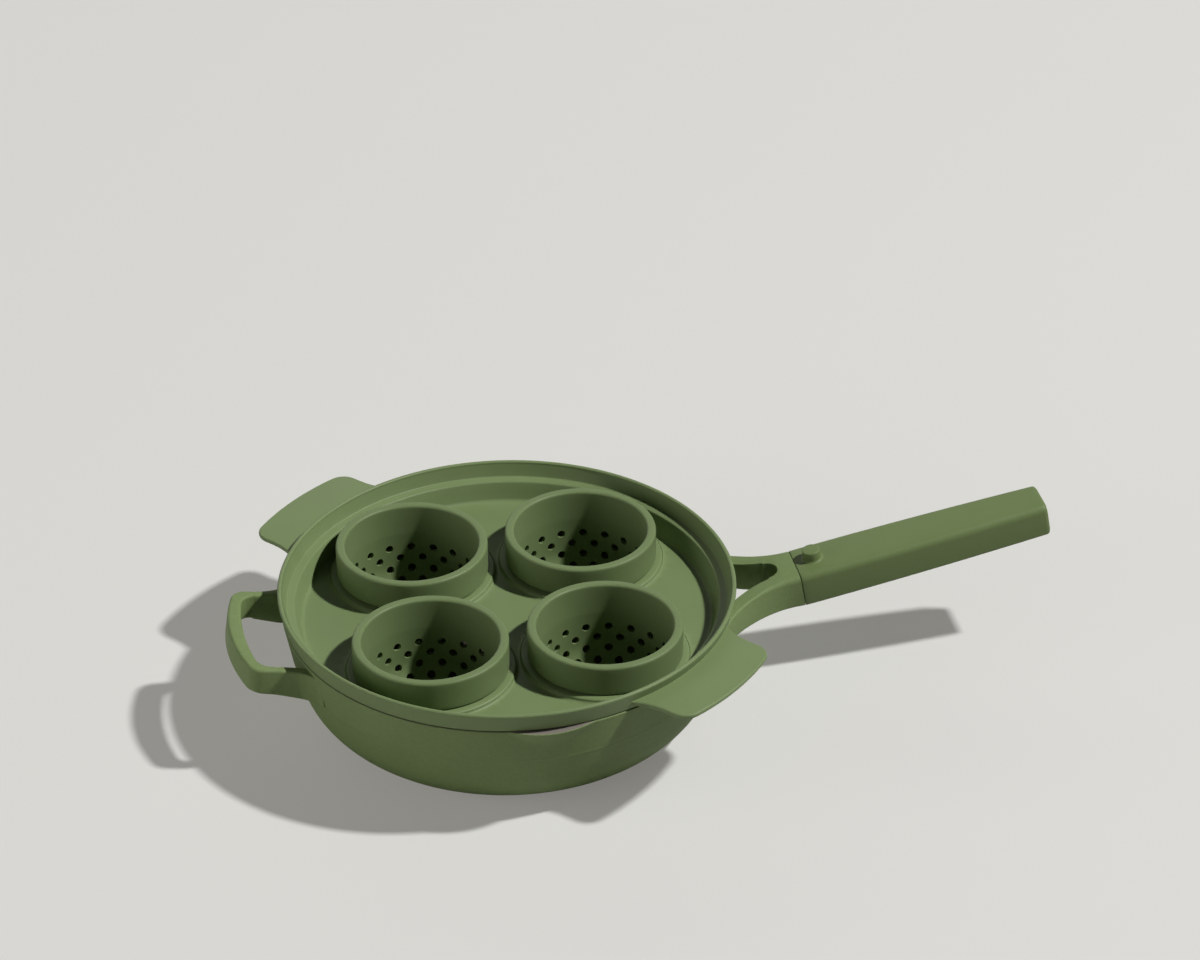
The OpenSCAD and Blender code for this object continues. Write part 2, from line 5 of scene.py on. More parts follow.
import bpy
import numpy as np
from mathutils import Euler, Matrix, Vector


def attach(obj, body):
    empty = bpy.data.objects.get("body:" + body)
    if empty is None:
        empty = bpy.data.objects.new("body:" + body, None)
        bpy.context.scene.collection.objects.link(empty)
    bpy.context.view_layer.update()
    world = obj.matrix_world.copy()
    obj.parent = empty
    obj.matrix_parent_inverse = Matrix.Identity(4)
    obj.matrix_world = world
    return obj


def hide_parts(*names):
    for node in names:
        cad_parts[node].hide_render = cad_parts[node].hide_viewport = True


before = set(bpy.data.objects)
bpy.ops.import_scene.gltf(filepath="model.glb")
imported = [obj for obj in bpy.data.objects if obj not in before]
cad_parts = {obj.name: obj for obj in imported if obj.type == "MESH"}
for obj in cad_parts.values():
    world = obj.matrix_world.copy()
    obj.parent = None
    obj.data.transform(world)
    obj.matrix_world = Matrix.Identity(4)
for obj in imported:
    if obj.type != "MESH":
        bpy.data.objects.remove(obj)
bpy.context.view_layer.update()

bl_info = {
    "name": "Egg poacher pan",
    "version": (1, 0, 0),
    "blender": (4, 5, 0),
    "location": "View3D > Sidebar > Poacher",
    "description": "Builds the smooth pan, grip, tray and cups, with their finishes, table, light and camera",
    "category": "Object",
}

SMOOTH_ANGLE = math.radians(32)

# Numbers of the casting's three finishes on its faces
OUTER_COAT, INNER_COAT, MACHINED = 0, 1, 2

# Each cup's own turn in its hole, in degrees
CUP_TURNS = {"cup_back_right": 15.8, "cup_back_left": 1.5, "cup_front_left": 10.9, "cup_front_right": 14.7}

# Soft bends of the casting and the width of its casting line, in metres
WALL_BEND = 0.0004
SPOUT_BEND = 0.0005
DIP_BEND = 0.0003
CASTING_LINE_W = 0.0006

# Below, s holds the pan's or the tray's sizes, h the handle's, c a cup's, and f the colours


def length(name, description, default):
    """A length property in metres."""
    return bpy.props.FloatProperty(
        name=name, description=description, default=default, min=0, unit="LENGTH", precision=5
    )


def turn(name, description, default):
    """An angle property, with its default given in degrees."""
    return bpy.props.FloatProperty(
        name=name, description=description, default=math.radians(default), unit="ROTATION"
    )


def tint(name, description, default):
    """A colour property in linear values."""
    return bpy.props.FloatVectorProperty(
        name=name, description=description, default=default, size=3, min=0, max=1, subtype="COLOR"
    )


class PanSizes(bpy.types.PropertyGroup):
    """Sizes of the cast bowl and its spouts."""

    rim_r: length("Rim radius", "Outer radius of the pan at its rim", 0.133)
    height: length("Height", "Height of the rim above the table", 0.0685)
    wall: length("Wall", "Thickness of the cast wall", 0.0036)
    floor: length("Floor", "Thickness of the cast floor", 0.0045)
    upper_lean: turn("Upper lean", "Lean of the upper wall from upright", 10.7)
    lower_lean: turn("Lower lean", "Lean of the lower wall from upright", 13.8)
    crease: length("Crease height", "Height of the faint casting line", 0.045)
    crease_line: length("Casting line", "Height of that line above the wall", 0.00015)
    corner_r: length("Corner radius", "Outer radius of the curve from wall to base", 0.038)
    rim_edge: length("Rim rounding", "Radius on the rim's edges", 0.0007)
    spout_r: length("Spout radius", "Outer radius of a spout's channel", 0.055)
    spout_depth: length("Spout depth", "Depth below the rim at which a spout starts", 0.012)
    spout_lean: turn("Spout lean", "Lean of a spout's channel from upright", 29)
    spout_dip: length("Spout dip", "Depth of the lip's dip below the rim", 0.0007)
    spout_dip_r: length("Spout dip radius", "Radius of the lip's dip", 0.25)
    plate_r: length("Plate recess radius", "Radius of the recess for the steel plate", 0.07505)
    plate_depth: length("Plate recess depth", "Depth of that recess", 0.0012)
    stud_r: length("Stud radius", "Radius of the studs that key the plate", 0.003)


class HandleSizes(bpy.types.PropertyGroup):
    """Sizes of the helper loop, the forked neck and the grip."""

    loop_half_w: length("Loop half width", "Half the width across the loop's arms", 0.0423)
    loop_reach: length("Loop reach", "Distance of the bar's outer side from the pan's axis", 0.1653)
    loop_bow_r: length("Loop bow", "Radius of the bar's outer bow", 0.112)
    loop_inner_bow_r: length("Loop inner bow", "Radius of the bar's inner bow", 0.15)
    loop_corner_r: length("Loop corner", "Radius of the loop's outer corners", 0.009)
    loop_inner_corner_r: length("Loop inner corner", "Radius of the inner corners", 0.010)
    loop_bar_w: length("Bar width", "Width of the bar seen from above", 0.0086)
    loop_arm_w: length("Arm width", "Width of an arm seen from above", 0.0052)
    loop_flare_x: length("Flare start", "Reach at which an arm starts to flare", 0.145)
    loop_flare_r: length("Flare radius", "Radius of that flare", 0.03)
    loop_edge_r: length("Loop edge", "Radius of the loop's long edges", 0.0018)
    loop_drop: length("Loop drop", "Depth of the loop's top below the rim at the wall", 0.0017)
    loop_rise: turn("Loop rise", "Rise of the loop's top face", 8.5)
    loop_root_h: length("Loop root depth", "Depth of the loop at the wall", 0.020)
    loop_tip_h: length("Loop bar depth", "Depth of the loop at its bar", 0.0155)
    seam_x: length("Seam reach", "Distance of the seam from the pan's axis", 0.1745)
    seam_z: length("Seam height", "Height of the handle's top face at the seam", 0.0686)
    rise: turn("Handle rise", "Rise of the handle", 10)
    root: length("Root depth", "Depth to which roots reach in from the rim's radius", 0.012)
    neck_w: length("Neck width", "Width of the neck at the seam", 0.0316)
    neck_flare_r: length("Neck flare", "Radius of the flare of the fork's outer sides", 0.053)
    neck_straight: length("Straight neck", "Distance from the seam at which the flare starts", 0.0025)
    neck_root_h: length("Neck root depth", "Depth of the neck at its root", 0.015)
    neck_root_edge_r: length("Root edge", "Radius of the neck's long edges at the wall", 0.0016)
    neck_ease: length("Edge ease", "Length over which the edge radius eases", 0.028)
    arm_w: length("Fork arm width", "Width of each arm of the fork", 0.009)
    gap_end_r: length("Gap end radius", "Radius of the round end of the gap", 0.0076)
    gap_to_seam: length("Gap to seam", "Distance from the gap's end to the seam", 0.0103)
    grip_len: length("Grip length", "Length of the grip", 0.155)
    grip_w: length("Grip width", "Greatest width of the grip", 0.0324)
    grip_end_w: length("Grip end width", "Width of the grip at its free end", 0.027)
    grip_h: length("Grip depth", "Depth of the grip at the seam", 0.0216)
    grip_end_h: length("Grip end depth", "Depth of the grip at its free end", 0.0206)
    grip_edge_r: length("Grip edge", "Radius of the long edges on the grip's top", 0.0045)
    grip_low_edge_r: length("Grip low edge", "Radius of the long edges under the grip", 0.0018)
    grip_nose_r: length("Grip nose", "Radius of the grip's closed end", 0.0025)
    seam_gap: length("Seam gap", "Width of the open seam", 0.0004)
    tang_w: length("Tang width", "Width of the tang", 0.018)
    tang_h: length("Tang depth", "Thickness of the tang", 0.008)
    tang_len: length("Tang length", "Length of the tang in the grip", 0.046)
    tang_drop: length("Tang drop", "Depth of the tang below the top face", 0.0055)
    tang_fit: length("Tang fit", "Gap between the tang and its pocket", 0.00015)
    screw_x: length("Screw place", "Distance of the screw from the seam", 0.030)
    screw_hole_r: length("Screw hole", "Radius of the hole for the shank", 0.0028)
    head_hole_r: length("Head recess", "Radius of the recess for the head", 0.00505)
    seat_t: length("Screw seat", "Thickness of the grip's floor under the head", 0.0024)
    peg_r: length("Peg radius", "Radius of the spatula peg", 0.0054)
    peg_h: length("Peg height", "Height of the peg above the grip", 0.0066)
    peg_x: length("Peg place", "Distance of the peg from the seam", 0.0115)
    peg_fillet_r: length("Peg fillet", "Radius at the peg's foot", 0.0018)
    peg_edge_r: length("Peg edge", "Radius on the peg's top edge", 0.0008)


class TraySizes(bpy.types.PropertyGroup):
    """Sizes of the poacher tray."""

    rim_r: length("Tray radius", "Outer radius of the tray's rim", 0.135)
    top: length("Tray top", "Height of the tray's rim above the table", 0.081)
    seat: length("Tray seat", "Height of the band's lower edge", 0.0688)
    taper: length("Band taper", "Taper of the band on the radius", 0.0025)
    rim_t: length("Rim thickness", "Thickness of the tray's rim", 0.0028)
    ledge_depth: length("Ledge depth", "Depth of the ledge below the rim", 0.0092)
    ledge_w: length("Ledge width", "Width of the ledge", 0.0046)
    ledge_fall: length("Ledge fall", "Fall of the ledge towards the middle", 0.001)
    depth: length("Tray depth", "Depth of the tray's floor below its rim", 0.022)
    floor_t: length("Floor thickness", "Thickness of the tray's floor", 0.0024)
    wall_lean: turn("Wall lean", "Lean of the tray's inner wall", 18)
    fillet_r: length("Floor fillet", "Radius round the tray's floor", 0.003)
    turned: turn("Turn", "Turn of the tray in the pan", -4)
    tab_reach: length("Tab reach", "Distance of a tab's end from the tray's axis", 0.1655)
    tab_half_w: length("Tab half width", "Half the width of a tab", 0.042)
    tab_corner_r: length("Tab corner", "Radius of a tab's corners", 0.011)
    tab_flare_r: length("Tab flare", "Radius of a tab's flare into the rim", 0.044)
    tab_flare_back: length("Tab flare place", "Distance of the flare from the corners", 0.0055)
    tab_t: length("Tab thickness", "Thickness of a tab", 0.003)
    tab_drop: length("Tab drop", "Depth of a tab's top below the rim", 0.006)
    tab_edge_r: length("Tab edge", "Radius of a tab's edges", 0.0012)
    cup_circle_r: length("Cup circle", "Distance of each cup's axis from the tray's axis", 0.072)
    hole_r: length("Cup hole", "Radius of the tray's hole for a cup", 0.0418)
    collar_r: length("Collar radius", "Outer radius of the raised collar", 0.0494)
    collar_h: length("Collar height", "Height of the raised collar", 0.0025)
    collar_edge_r: length("Collar edge", "Radius of the collar's edge", 0.0016)


class CupSizes(bpy.types.PropertyGroup):
    """Sizes of a poaching cup."""

    lip: length("Lip height", "Height of a cup's lip above the table", 0.0807)
    mouth_r: length("Mouth radius", "Inner radius at the lip", 0.0399)
    outer_r: length("Outer radius", "Outer radius of the thick upper wall", 0.0454)
    bore_r: length("Bore radius", "Inner radius of the perforated wall", 0.0389)
    wall: length("Wall", "Thickness of the perforated wall", 0.0024)
    upper_h: length("Upper height", "Height of the thick upper wall", 0.0189)
    depth: length("Depth", "Depth of a cup inside", 0.060)
    corner_r: length("Corner radius", "Inner radius from wall to bottom", 0.020)
    lip_edge_r: length("Lip edge", "Radius of the edges of the lip", 0.0016)
    foot_r: length("Foot radius", "Radius on the thick wall's lower edge", 0.0012)
    hole_r: length("Drain hole", "Radius of a drain hole", 0.0025)
    row_start: length("First row", "Distance from the lip to the first row", 0.0286)
    row_pitch: length("Row pitch", "Distance between rows", 0.0075)


class Finishes(bpy.types.PropertyGroup):
    """Colours of the finishes."""

    coat: tint("Outer coat", "Sandy matte coat outside", (0.158, 0.217, 0.084))
    inner: tint("Inner coat", "Nonstick coat inside", (0.190, 0.171, 0.148))
    grip: tint("Grip", "Moulded grip", (0.134, 0.185, 0.068))
    tray: tint("Tray", "Silicone of the tray", (0.160, 0.218, 0.093))
    # Darker than the tray's silicone: painted shade for the shaded insides of the cups
    cup: tint("Cups", "Silicone of the cups", (0.143, 0.197, 0.082))
    steel: tint("Steel", "Steel of the plate and the screw", (0.56, 0.56, 0.57))
    casting: tint("Machined base", "Bare turned aluminium", (0.66, 0.66, 0.67))
    table: tint("Table", "Pale table", (0.652, 0.654, 0.638))


def arc(centre, radius, start, end, steps):
    """Points centre + radius (cos t, sin t), for t from start to end."""
    t = np.linspace(start, end, steps)
    return np.stack([centre[0] + radius * np.cos(t), centre[1] + radius * np.sin(t)], -1)


def softened(corners, steps=6):
    """Polyline with each corner (x, y, radius) replaced by its tangent arc.

    The arc's centre lies on the corner's bisector at radius / sin(half the inside angle), and the arc
    swings from one tangent point to the other by spherical interpolation of the two radii.
    """
    corners = np.asarray(corners, float)
    p, radius = corners[:, :2], corners[1:-1, 2:3]
    back, ahead = p[:-2] - p[1:-1], p[2:] - p[1:-1]
    back /= np.linalg.norm(back, axis=1, keepdims=True)
    ahead /= np.linalg.norm(ahead, axis=1, keepdims=True)
    inside = np.arccos(np.clip((back * ahead).sum(1, keepdims=True), -1, 1))
    swing = np.maximum(math.pi - inside, 1e-6)
    reach = radius * np.tan(swing / 2)
    bisector = back + ahead
    bisector /= np.maximum(np.linalg.norm(bisector, axis=1, keepdims=True), 1e-9)
    centre = p[1:-1] + bisector * radius / np.sin(inside / 2)
    first, last = p[1:-1] + back * reach - centre, p[1:-1] + ahead * reach - centre
    t = np.linspace(0, 1, steps)[None, :, None]
    swing = swing[:, :, None]
    swept = (np.sin((1 - t) * swing) * first[:, None] + np.sin(t * swing) * last[:, None]) / np.sin(swing)
    line = np.concatenate([p[:1], (centre[:, None] + swept).reshape(-1, 2), p[-1:]])
    keep = np.ones(len(line), bool)
    keep[1:] = np.linalg.norm(np.diff(line, axis=0), axis=1) > 1e-7
    return line[keep]


def finer(line, step):
    """The same line with every stretch longer than step cut into equal parts."""
    run = np.concatenate([[0], np.cumsum(np.linalg.norm(np.diff(line, axis=0), axis=1))])
    counts = np.maximum(1, np.ceil(np.diff(run) / step).astype(int))
    start = np.repeat(run[:-1], counts)
    size = np.repeat(np.diff(run) / counts, counts)
    index = np.arange(counts.sum()) - np.repeat(np.cumsum(counts) - counts, counts)
    s = np.append(start + size * index, run[-1])
    return np.stack([np.interp(s, run, line[:, 0]), np.interp(s, run, line[:, 1])], -1)


def turned(profile, sides):
    """Rings of a turned surface: (r cos t, r sin t, z) for each profile point (r, z)."""
    t = np.arange(sides) * 2 * math.pi / sides
    r, z = profile[:, 0, None], profile[:, 1, None]
    return np.stack([r * np.cos(t), r * np.sin(t), z + 0 * t], -1)


def section(half_w, top, bottom, top_r, low_r, steps=8):
    """Rounded rectangles as (n, points, 2): each corner's centre plus its radius (cos t, sin t)."""
    half_w, top, bottom, top_r, low_r = np.broadcast_arrays(
        *(np.atleast_1d(np.asarray(v, float))[:, None, None] for v in (half_w, top, bottom, top_r, low_r))
    )
    t = np.linspace(0, math.pi / 2, steps) + np.arange(4)[:, None] * math.pi / 2
    side = np.array([1, -1, -1, 1.0])[:, None]
    upper = np.array([1, 1, 0, 0.0])[:, None]
    radius = upper * top_r + (1 - upper) * low_r
    across = side * (half_w - radius) + radius * np.cos(t)
    height = upper * (top - radius) + (1 - upper) * (bottom + radius) + radius * np.sin(t)
    return np.stack([across, height], -1).reshape(len(half_w), -1, 2)


def piece_from(name, points, faces, tags=None):
    """A mesh object from points and a list of face arrays, turned so that its volume is positive."""
    triangles = np.concatenate([f[:, [0, k, k + 1]] for f in faces for k in range(1, f.shape[1] - 1)])
    a, b, c = (points[triangles[:, k]] for k in range(3))
    if np.einsum("ij,ij->", a, np.cross(b, c)) < 0:
        faces = [f[:, ::-1] for f in faces]
    sizes = np.concatenate([np.full(len(f), f.shape[1]) for f in faces])
    corners = np.concatenate([f.ravel() for f in faces])
    mesh = bpy.data.meshes.new(name)
    mesh.vertices.add(len(points))
    mesh.vertices.foreach_set("co", points.astype(np.float32).ravel())
    mesh.loops.add(len(corners))
    mesh.loops.foreach_set("vertex_index", corners.astype(np.int32))
    mesh.polygons.add(len(sizes))
    mesh.polygons.foreach_set("loop_start", (np.cumsum(sizes) - sizes).astype(np.int32))
    if tags is not None:
        mesh.polygons.foreach_set("material_index", tags.astype(np.int32))
    mesh.update(calc_edges=True)
    piece = bpy.data.objects.new(name, mesh)
    bpy.context.scene.collection.objects.link(piece)
    return piece


def skin(name, rings, row_tags=None, ring_closed=False):
    """Closed skin over rings (m, n, 3): a quad joins (j, k), (j, k+1), (j+1, k+1) and (j+1, k).

    Each end closes with a fan to its ring's mean point, or the last ring joins the first one.
    """
    tips = rings[0].mean(0), rings[-1].mean(0)
    if not ring_closed:
        first = int(np.ptp(rings[0], axis=0).max() < 1e-9)
        last = len(rings) - int(np.ptp(rings[-1], axis=0).max() < 1e-9)
        tags_cut = (first, last - 1)
        rings = rings[first:last]
    m, n = rings.shape[:2]
    j = np.arange(m if ring_closed else m - 1)[:, None]
    k = np.arange(n)[None, :]
    after, beside = (j + 1) % m, (k + 1) % n
    quads = np.stack(np.broadcast_arrays(j * n + k, j * n + beside, after * n + beside, after * n + k), -1)
    faces = [quads.reshape(-1, 4)]
    points = rings.reshape(-1, 3)
    tags = None
    if not ring_closed:
        points = np.concatenate([points, tips])
        k, beside = k.ravel(), beside.ravel()
        low = np.stack([beside, k, np.full(n, m * n)], -1)
        high = np.stack([(m - 1) * n + k, (m - 1) * n + beside, np.full(n, m * n + 1)], -1)
        faces.append(np.concatenate([low, high]))
    if row_tags is not None:
        body = np.repeat(row_tags[tags_cut[0]:tags_cut[1]], n)
        ends = np.repeat([row_tags[0], row_tags[-1]], n)
        tags = np.concatenate([body, ends])
    return piece_from(name, points, faces, tags)


def combine(base, others, operation):
    """Boolean of base with each other piece in turn. The others are used up."""
    for other in others:
        step = base.modifiers.new("join", "BOOLEAN")
        step.operation, step.solver, step.object = operation, "MANIFOLD", other
    return finished(base, others)


def finished(piece, used=()):
    """Puts the piece's modifiers into its mesh and removes the pieces that they used."""
    graph = bpy.context.evaluated_depsgraph_get()
    mesh = bpy.data.meshes.new_from_object(piece.evaluated_get(graph), depsgraph=graph)
    piece.modifiers.clear()
    old, piece.data = piece.data, mesh
    mesh.name = piece.name
    bpy.data.meshes.remove(old)
    for other in used:
        data = other.data
        bpy.data.objects.remove(other)
        bpy.data.meshes.remove(data)
    return piece


def smooth(piece):
    """Smooth shading that breaks at edges sharper than SMOOTH_ANGLE."""
    piece.data.shade_smooth()
    piece.data.set_sharp_from_angle(angle=SMOOTH_ANGLE)


def reshaped(piece, change):
    """Passes a piece's points, as one array, through a function that returns their new places."""
    points = np.empty(3 * len(piece.data.vertices), np.float32)
    piece.data.vertices.foreach_get("co", points)
    points = change(points.reshape(-1, 3).astype(float))
    piece.data.vertices.foreach_set("co", points.astype(np.float32).ravel())
    piece.data.update()
    return piece


def placed(points, lean, at):
    """Points turned about Y by -lean, then moved by at: the frame of a rising handle."""
    c, s = math.cos(lean), math.sin(lean)
    turn_up = np.array([[c, 0, -s], [0, 1, 0], [s, 0, c]])
    return points @ turn_up.T + np.asarray(at)


def spun(points, angle):
    """Points turned about Z by the angle."""
    c, s = math.cos(angle), math.sin(angle)
    return points @ np.array([[c, s, 0], [-s, c, 0], [0, 0, 1]])


def wear_piece(piece, body, slot, stands_for, *materials):
    """Gives a finished piece its materials and body, and hides the imported part that it stands for.

    Clearing the materials would set every face to the first one, so the faces' numbers are put back. The slot
    is not used.
    """
    numbers = np.empty(len(piece.data.polygons), np.int32)
    piece.data.polygons.foreach_get("material_index", numbers)
    piece.data.materials.clear()
    for material in materials:
        piece.data.materials.append(material)
    piece.data.polygons.foreach_set("material_index", numbers)
    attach(piece, body)
    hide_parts(stands_for)


def soft_max(a, b, k):
    """Larger of a and b, with a round of size k where they meet: a + h (b - a) + k h (1 - h)."""
    h = np.clip(0.5 + 0.5 * (b - a) / k, 0, 1)
    return a + h * (b - a) + k * h * (1 - h)


def wall_radius(s, z):
    """Outer radius of the wall: the smaller of two straight lines that cross at the crease."""
    upper = s.rim_r - (s.height - z) * math.tan(s.upper_lean)
    crease_r = s.rim_r - (s.height - s.crease) * math.tan(s.upper_lean)
    lower = crease_r - (s.crease - z) * math.tan(s.lower_lean)
    return -soft_max(-upper, -lower, WALL_BEND)


def channel_radius(s, away, z):
    """Distance from the pan's axis to a spout's leaning cylinder of radius r, in direction away.

    It is the larger root of rho^2 (sin^2 + cos^2 cos^2 lean) - 2 rho cos cos(lean) k + k^2 - r^2 = 0,
    where k is how far the cylinder's axis lies out at that height, measured square to the axis.
    """
    r = s.spout_r
    foot_z = s.height - s.spout_depth
    c_lean, s_lean = math.cos(s.spout_lean), math.sin(s.spout_lean)
    axis_x = float(wall_radius(s, np.float64(foot_z))) - r * c_lean
    axis_z = foot_z + r * s_lean
    k = axis_x * c_lean + (z - axis_z) * s_lean
    b = np.cos(away) * c_lean * k
    q = np.sin(away) ** 2 + (np.cos(away) * c_lean) ** 2
    inside = b * b - q * (k * k - r * r)
    return np.where((inside > 0) & (np.cos(away) > 0), (b + np.sqrt(np.maximum(inside, 0))) / q, 0)


def bowl_radius(s, t, z, inset):
    """Radius of the bowl's face at angle t and height z. It is the inner face where inset isn't 0.

    The inner face is round. The outer one bulges into the two spouts, so that the rim's top is broad
    there, and carries the casting line: height x exp(-((z - crease) / width)^2).
    """
    if inset:
        return wall_radius(s, z) - inset + 0 * t
    away = t % math.pi - math.pi / 2
    line = s.crease_line * np.exp(-(((z - s.crease) / CASTING_LINE_W) ** 2))
    return soft_max(wall_radius(s, z), channel_radius(s, away, z), SPOUT_BEND) + line


def corner_arc(s, inset, floor_z, steps):
    """Arc from the flat floor to the lower wall, drawn in by inset, as (r, z)."""
    r = s.corner_r - inset
    turn_z = floor_z + r
    turn_r = float(wall_radius(s, np.float64(turn_z))) - inset - r / math.cos(s.lower_lean)
    return arc((turn_r, turn_z), r, -math.pi / 2, -s.lower_lean, steps)


def bowl_rings(s, sides=448):
    """Rings of the bowl, from the base's middle, up the outside, over the rim and down the inside.

    Angles are closer together at the spouts: t = u + crowding x sin 2u. Wall rows run from the corner's
    arc to the rim, whose height at each angle is the rim's or, at a spout, the dip's arc. Each row has a
    tag, the number of its finish.
    """
    crowding = 0.275
    chamfer = 0.0002
    floor_mid_r = 0.05
    u = np.arange(sides) * 2 * math.pi / sides
    t = u + crowding * np.sin(2 * u)
    lateral = s.rim_r * np.cos(t)
    sag = s.spout_dip_r - np.sqrt(np.maximum(s.spout_dip_r**2 - lateral**2, 0))
    dip = np.where(np.abs(lateral) < s.spout_dip_r, s.spout_dip - sag, -1)
    top = s.height - soft_max(np.zeros_like(dip), dip, DIP_BEND)
    edge = s.rim_edge

    def flat(profile):
        """The same radius and height at every angle."""
        return np.broadcast_to(profile[:, None, :], (len(profile), sides, 2))

    def wall(inset, z0, share, drop):
        """Rows at shares of the height from z0 to drop below the top."""
        z = z0 + share[:, None] * (top - drop - z0)
        return np.stack([bowl_radius(s, t, z, inset), z], -1)

    def rim(inset, way, angles):
        """Rows of the rim's edge: a quarter circle drawn in by way x edge (1 - cos)."""
        z = top - edge * (1 - np.sin(angles))[:, None]
        r = bowl_radius(s, t, z, inset) - way * edge * (1 - np.cos(angles))[:, None]
        return np.stack([r, z], -1)

    recess = np.array([
        [0, s.plate_depth], [s.plate_r, s.plate_depth], [s.plate_r, chamfer], [s.plate_r + chamfer, 0],
    ])
    outside = corner_arc(s, 0, 0, steps=22)
    inside = corner_arc(s, s.wall, s.floor, steps=20)
    base = finer(np.array([recess[-1], outside[0]]), step=0.003)[1:-1]
    share = np.linspace(0, 1, 91)[1:]
    down = np.linspace(1, 0, 30)[:-1]
    quarter = np.linspace(0, math.pi / 2, 6)[1:]
    parts = [
        flat(recess), flat(base), flat(outside),
        wall(0, outside[-1, 1], share, edge), rim(0, 1, quarter),
        rim(s.wall, -1, quarter[::-1]), wall(s.wall, inside[-1, 1], down, edge),
        flat(inside[::-1]), flat(np.array([[floor_mid_r, s.floor], [0, s.floor]])),
    ]
    rows = np.cumsum([len(p) for p in parts])
    line = np.concatenate(parts)
    tags = np.full(len(line), OUTER_COAT)
    tags[: rows[1]] = MACHINED
    tags[rows[4] - 1:] = INNER_COAT
    rings = np.stack([line[..., 0] * np.cos(t), line[..., 0] * np.sin(t), line[..., 1]], -1)
    return rings, tags


def loop_line(h, s, half_w, reach, bow_r, corner, flare_r):
    """Half outline of the helper loop: the bar's bow, one corner's arc, the arm's flare."""
    bow_x = reach - bow_r
    corner_y = half_w - corner
    bow_a = math.asin(corner_y / (bow_r - corner))
    corner_x = bow_x + (bow_r - corner) * math.cos(bow_a)
    flare_a = math.asin((h.loop_flare_x - s.rim_r + h.root) / flare_r)
    bow = arc((bow_x, 0), bow_r, 0, bow_a, steps=25)
    bend = arc((corner_x, corner_y), corner, bow_a, math.pi / 2, steps=15)[1:]
    down = -math.pi / 2
    flare = arc((h.loop_flare_x, half_w + flare_r), flare_r, down, down - flare_a, steps=18)
    return np.concatenate([bow, bend, flare])


def helper_loop(h, s):
    """Loop: rounded rectangles carried between the outer and the inner line, deeper near the wall.

    Near the wall they lean in with it and sink into it, by (depth x tan(lean) + sink) x share^4.
    """
    sink = h.root / 8
    outer = loop_line(h, s, h.loop_half_w, h.loop_reach, h.loop_bow_r, h.loop_corner_r, h.loop_flare_r)
    inner = loop_line(
        h, s, h.loop_half_w - h.loop_arm_w, h.loop_reach - h.loop_bar_w,
        h.loop_inner_bow_r, h.loop_inner_corner_r, 2 * h.loop_flare_r,
    )
    flip = np.array([1, -1])
    outer = np.concatenate([outer[:0:-1] * flip, outer])
    inner = np.concatenate([inner[:0:-1] * flip, inner])
    w = np.linalg.norm(inner - outer, axis=1)
    share = np.clip((h.loop_reach - outer[:, 0]) / (h.loop_reach - s.rim_r), 0, 1)
    depth = h.loop_tip_h + (h.loop_root_h - h.loop_tip_h) * share**2
    cut = section(w / 2, 0 * w, -depth, h.loop_edge_r, h.loop_edge_r, steps=7)
    spread = cut[..., 0] / w[:, None] + 0.5
    plan = outer[:, None] + (inner - outer)[:, None] * spread[..., None]
    drift = (sink - cut[..., 1:] * math.tan(s.lower_lean)) * share[:, None, None] ** 4
    plan = plan * (1 - drift / np.linalg.norm(plan, axis=-1, keepdims=True))
    rings = np.concatenate([plan, cut[..., 1:]], -1) - np.array([s.rim_r, 0, 0])
    rings = placed(rings, h.loop_rise, (s.rim_r, 0, s.height - h.loop_drop))
    return skin("loop", spun(rings, math.pi))


def neck_half_w(h, x):
    """Half width of the neck at distance x before the seam: straight, then a hollow arc."""
    run = np.maximum(0, x - h.neck_straight)
    return h.neck_w / 2 + h.neck_flare_r - np.sqrt(h.neck_flare_r**2 - run**2)


def prism(name, outline, low, high):
    """Upright block on a closed outline (n, 2)."""
    low, high = (np.column_stack([outline, np.full(len(outline), z)]) for z in (low, high))
    return skin(name, np.stack([low, high]))


def block(name, low, high):
    """Plain box between two corners."""
    x = np.array([low[0], high[0], high[0], low[0]])
    y = np.array([low[1], low[1], high[1], high[1]])
    return prism(name, np.stack([x, y], -1), low[2], high[2])


def fork_gap(h, s):
    """Block that cuts the gap between the fork's arms.

    Its sides are arcs about the flare's centres with radius flare plus arm, and its end is round.
    """
    slot_x = h.seam_x - h.gap_to_seam - h.gap_end_r
    flare_x = h.seam_x - h.neck_straight
    far_y = h.neck_w / 2 + h.neck_flare_r
    big_r = h.neck_flare_r + h.arm_w
    gx = np.linspace(s.rim_r - h.root, slot_x, 40)
    gy = far_y - np.sqrt(big_r**2 - (flare_x - gx) ** 2)
    start = math.atan2(gy[-1], 0)
    end_arc = arc((slot_x, 0), h.gap_end_r, start, -start, steps=33)
    side = np.stack([gx, np.maximum(gy, h.gap_end_r)], -1)
    side = np.concatenate([side[:1] - [2 * h.root, 0], side])
    outline = np.concatenate([side, end_arc[1:-1], side[::-1] * [1, -1]])
    return prism("gap", outline, low=0.01, high=0.12)


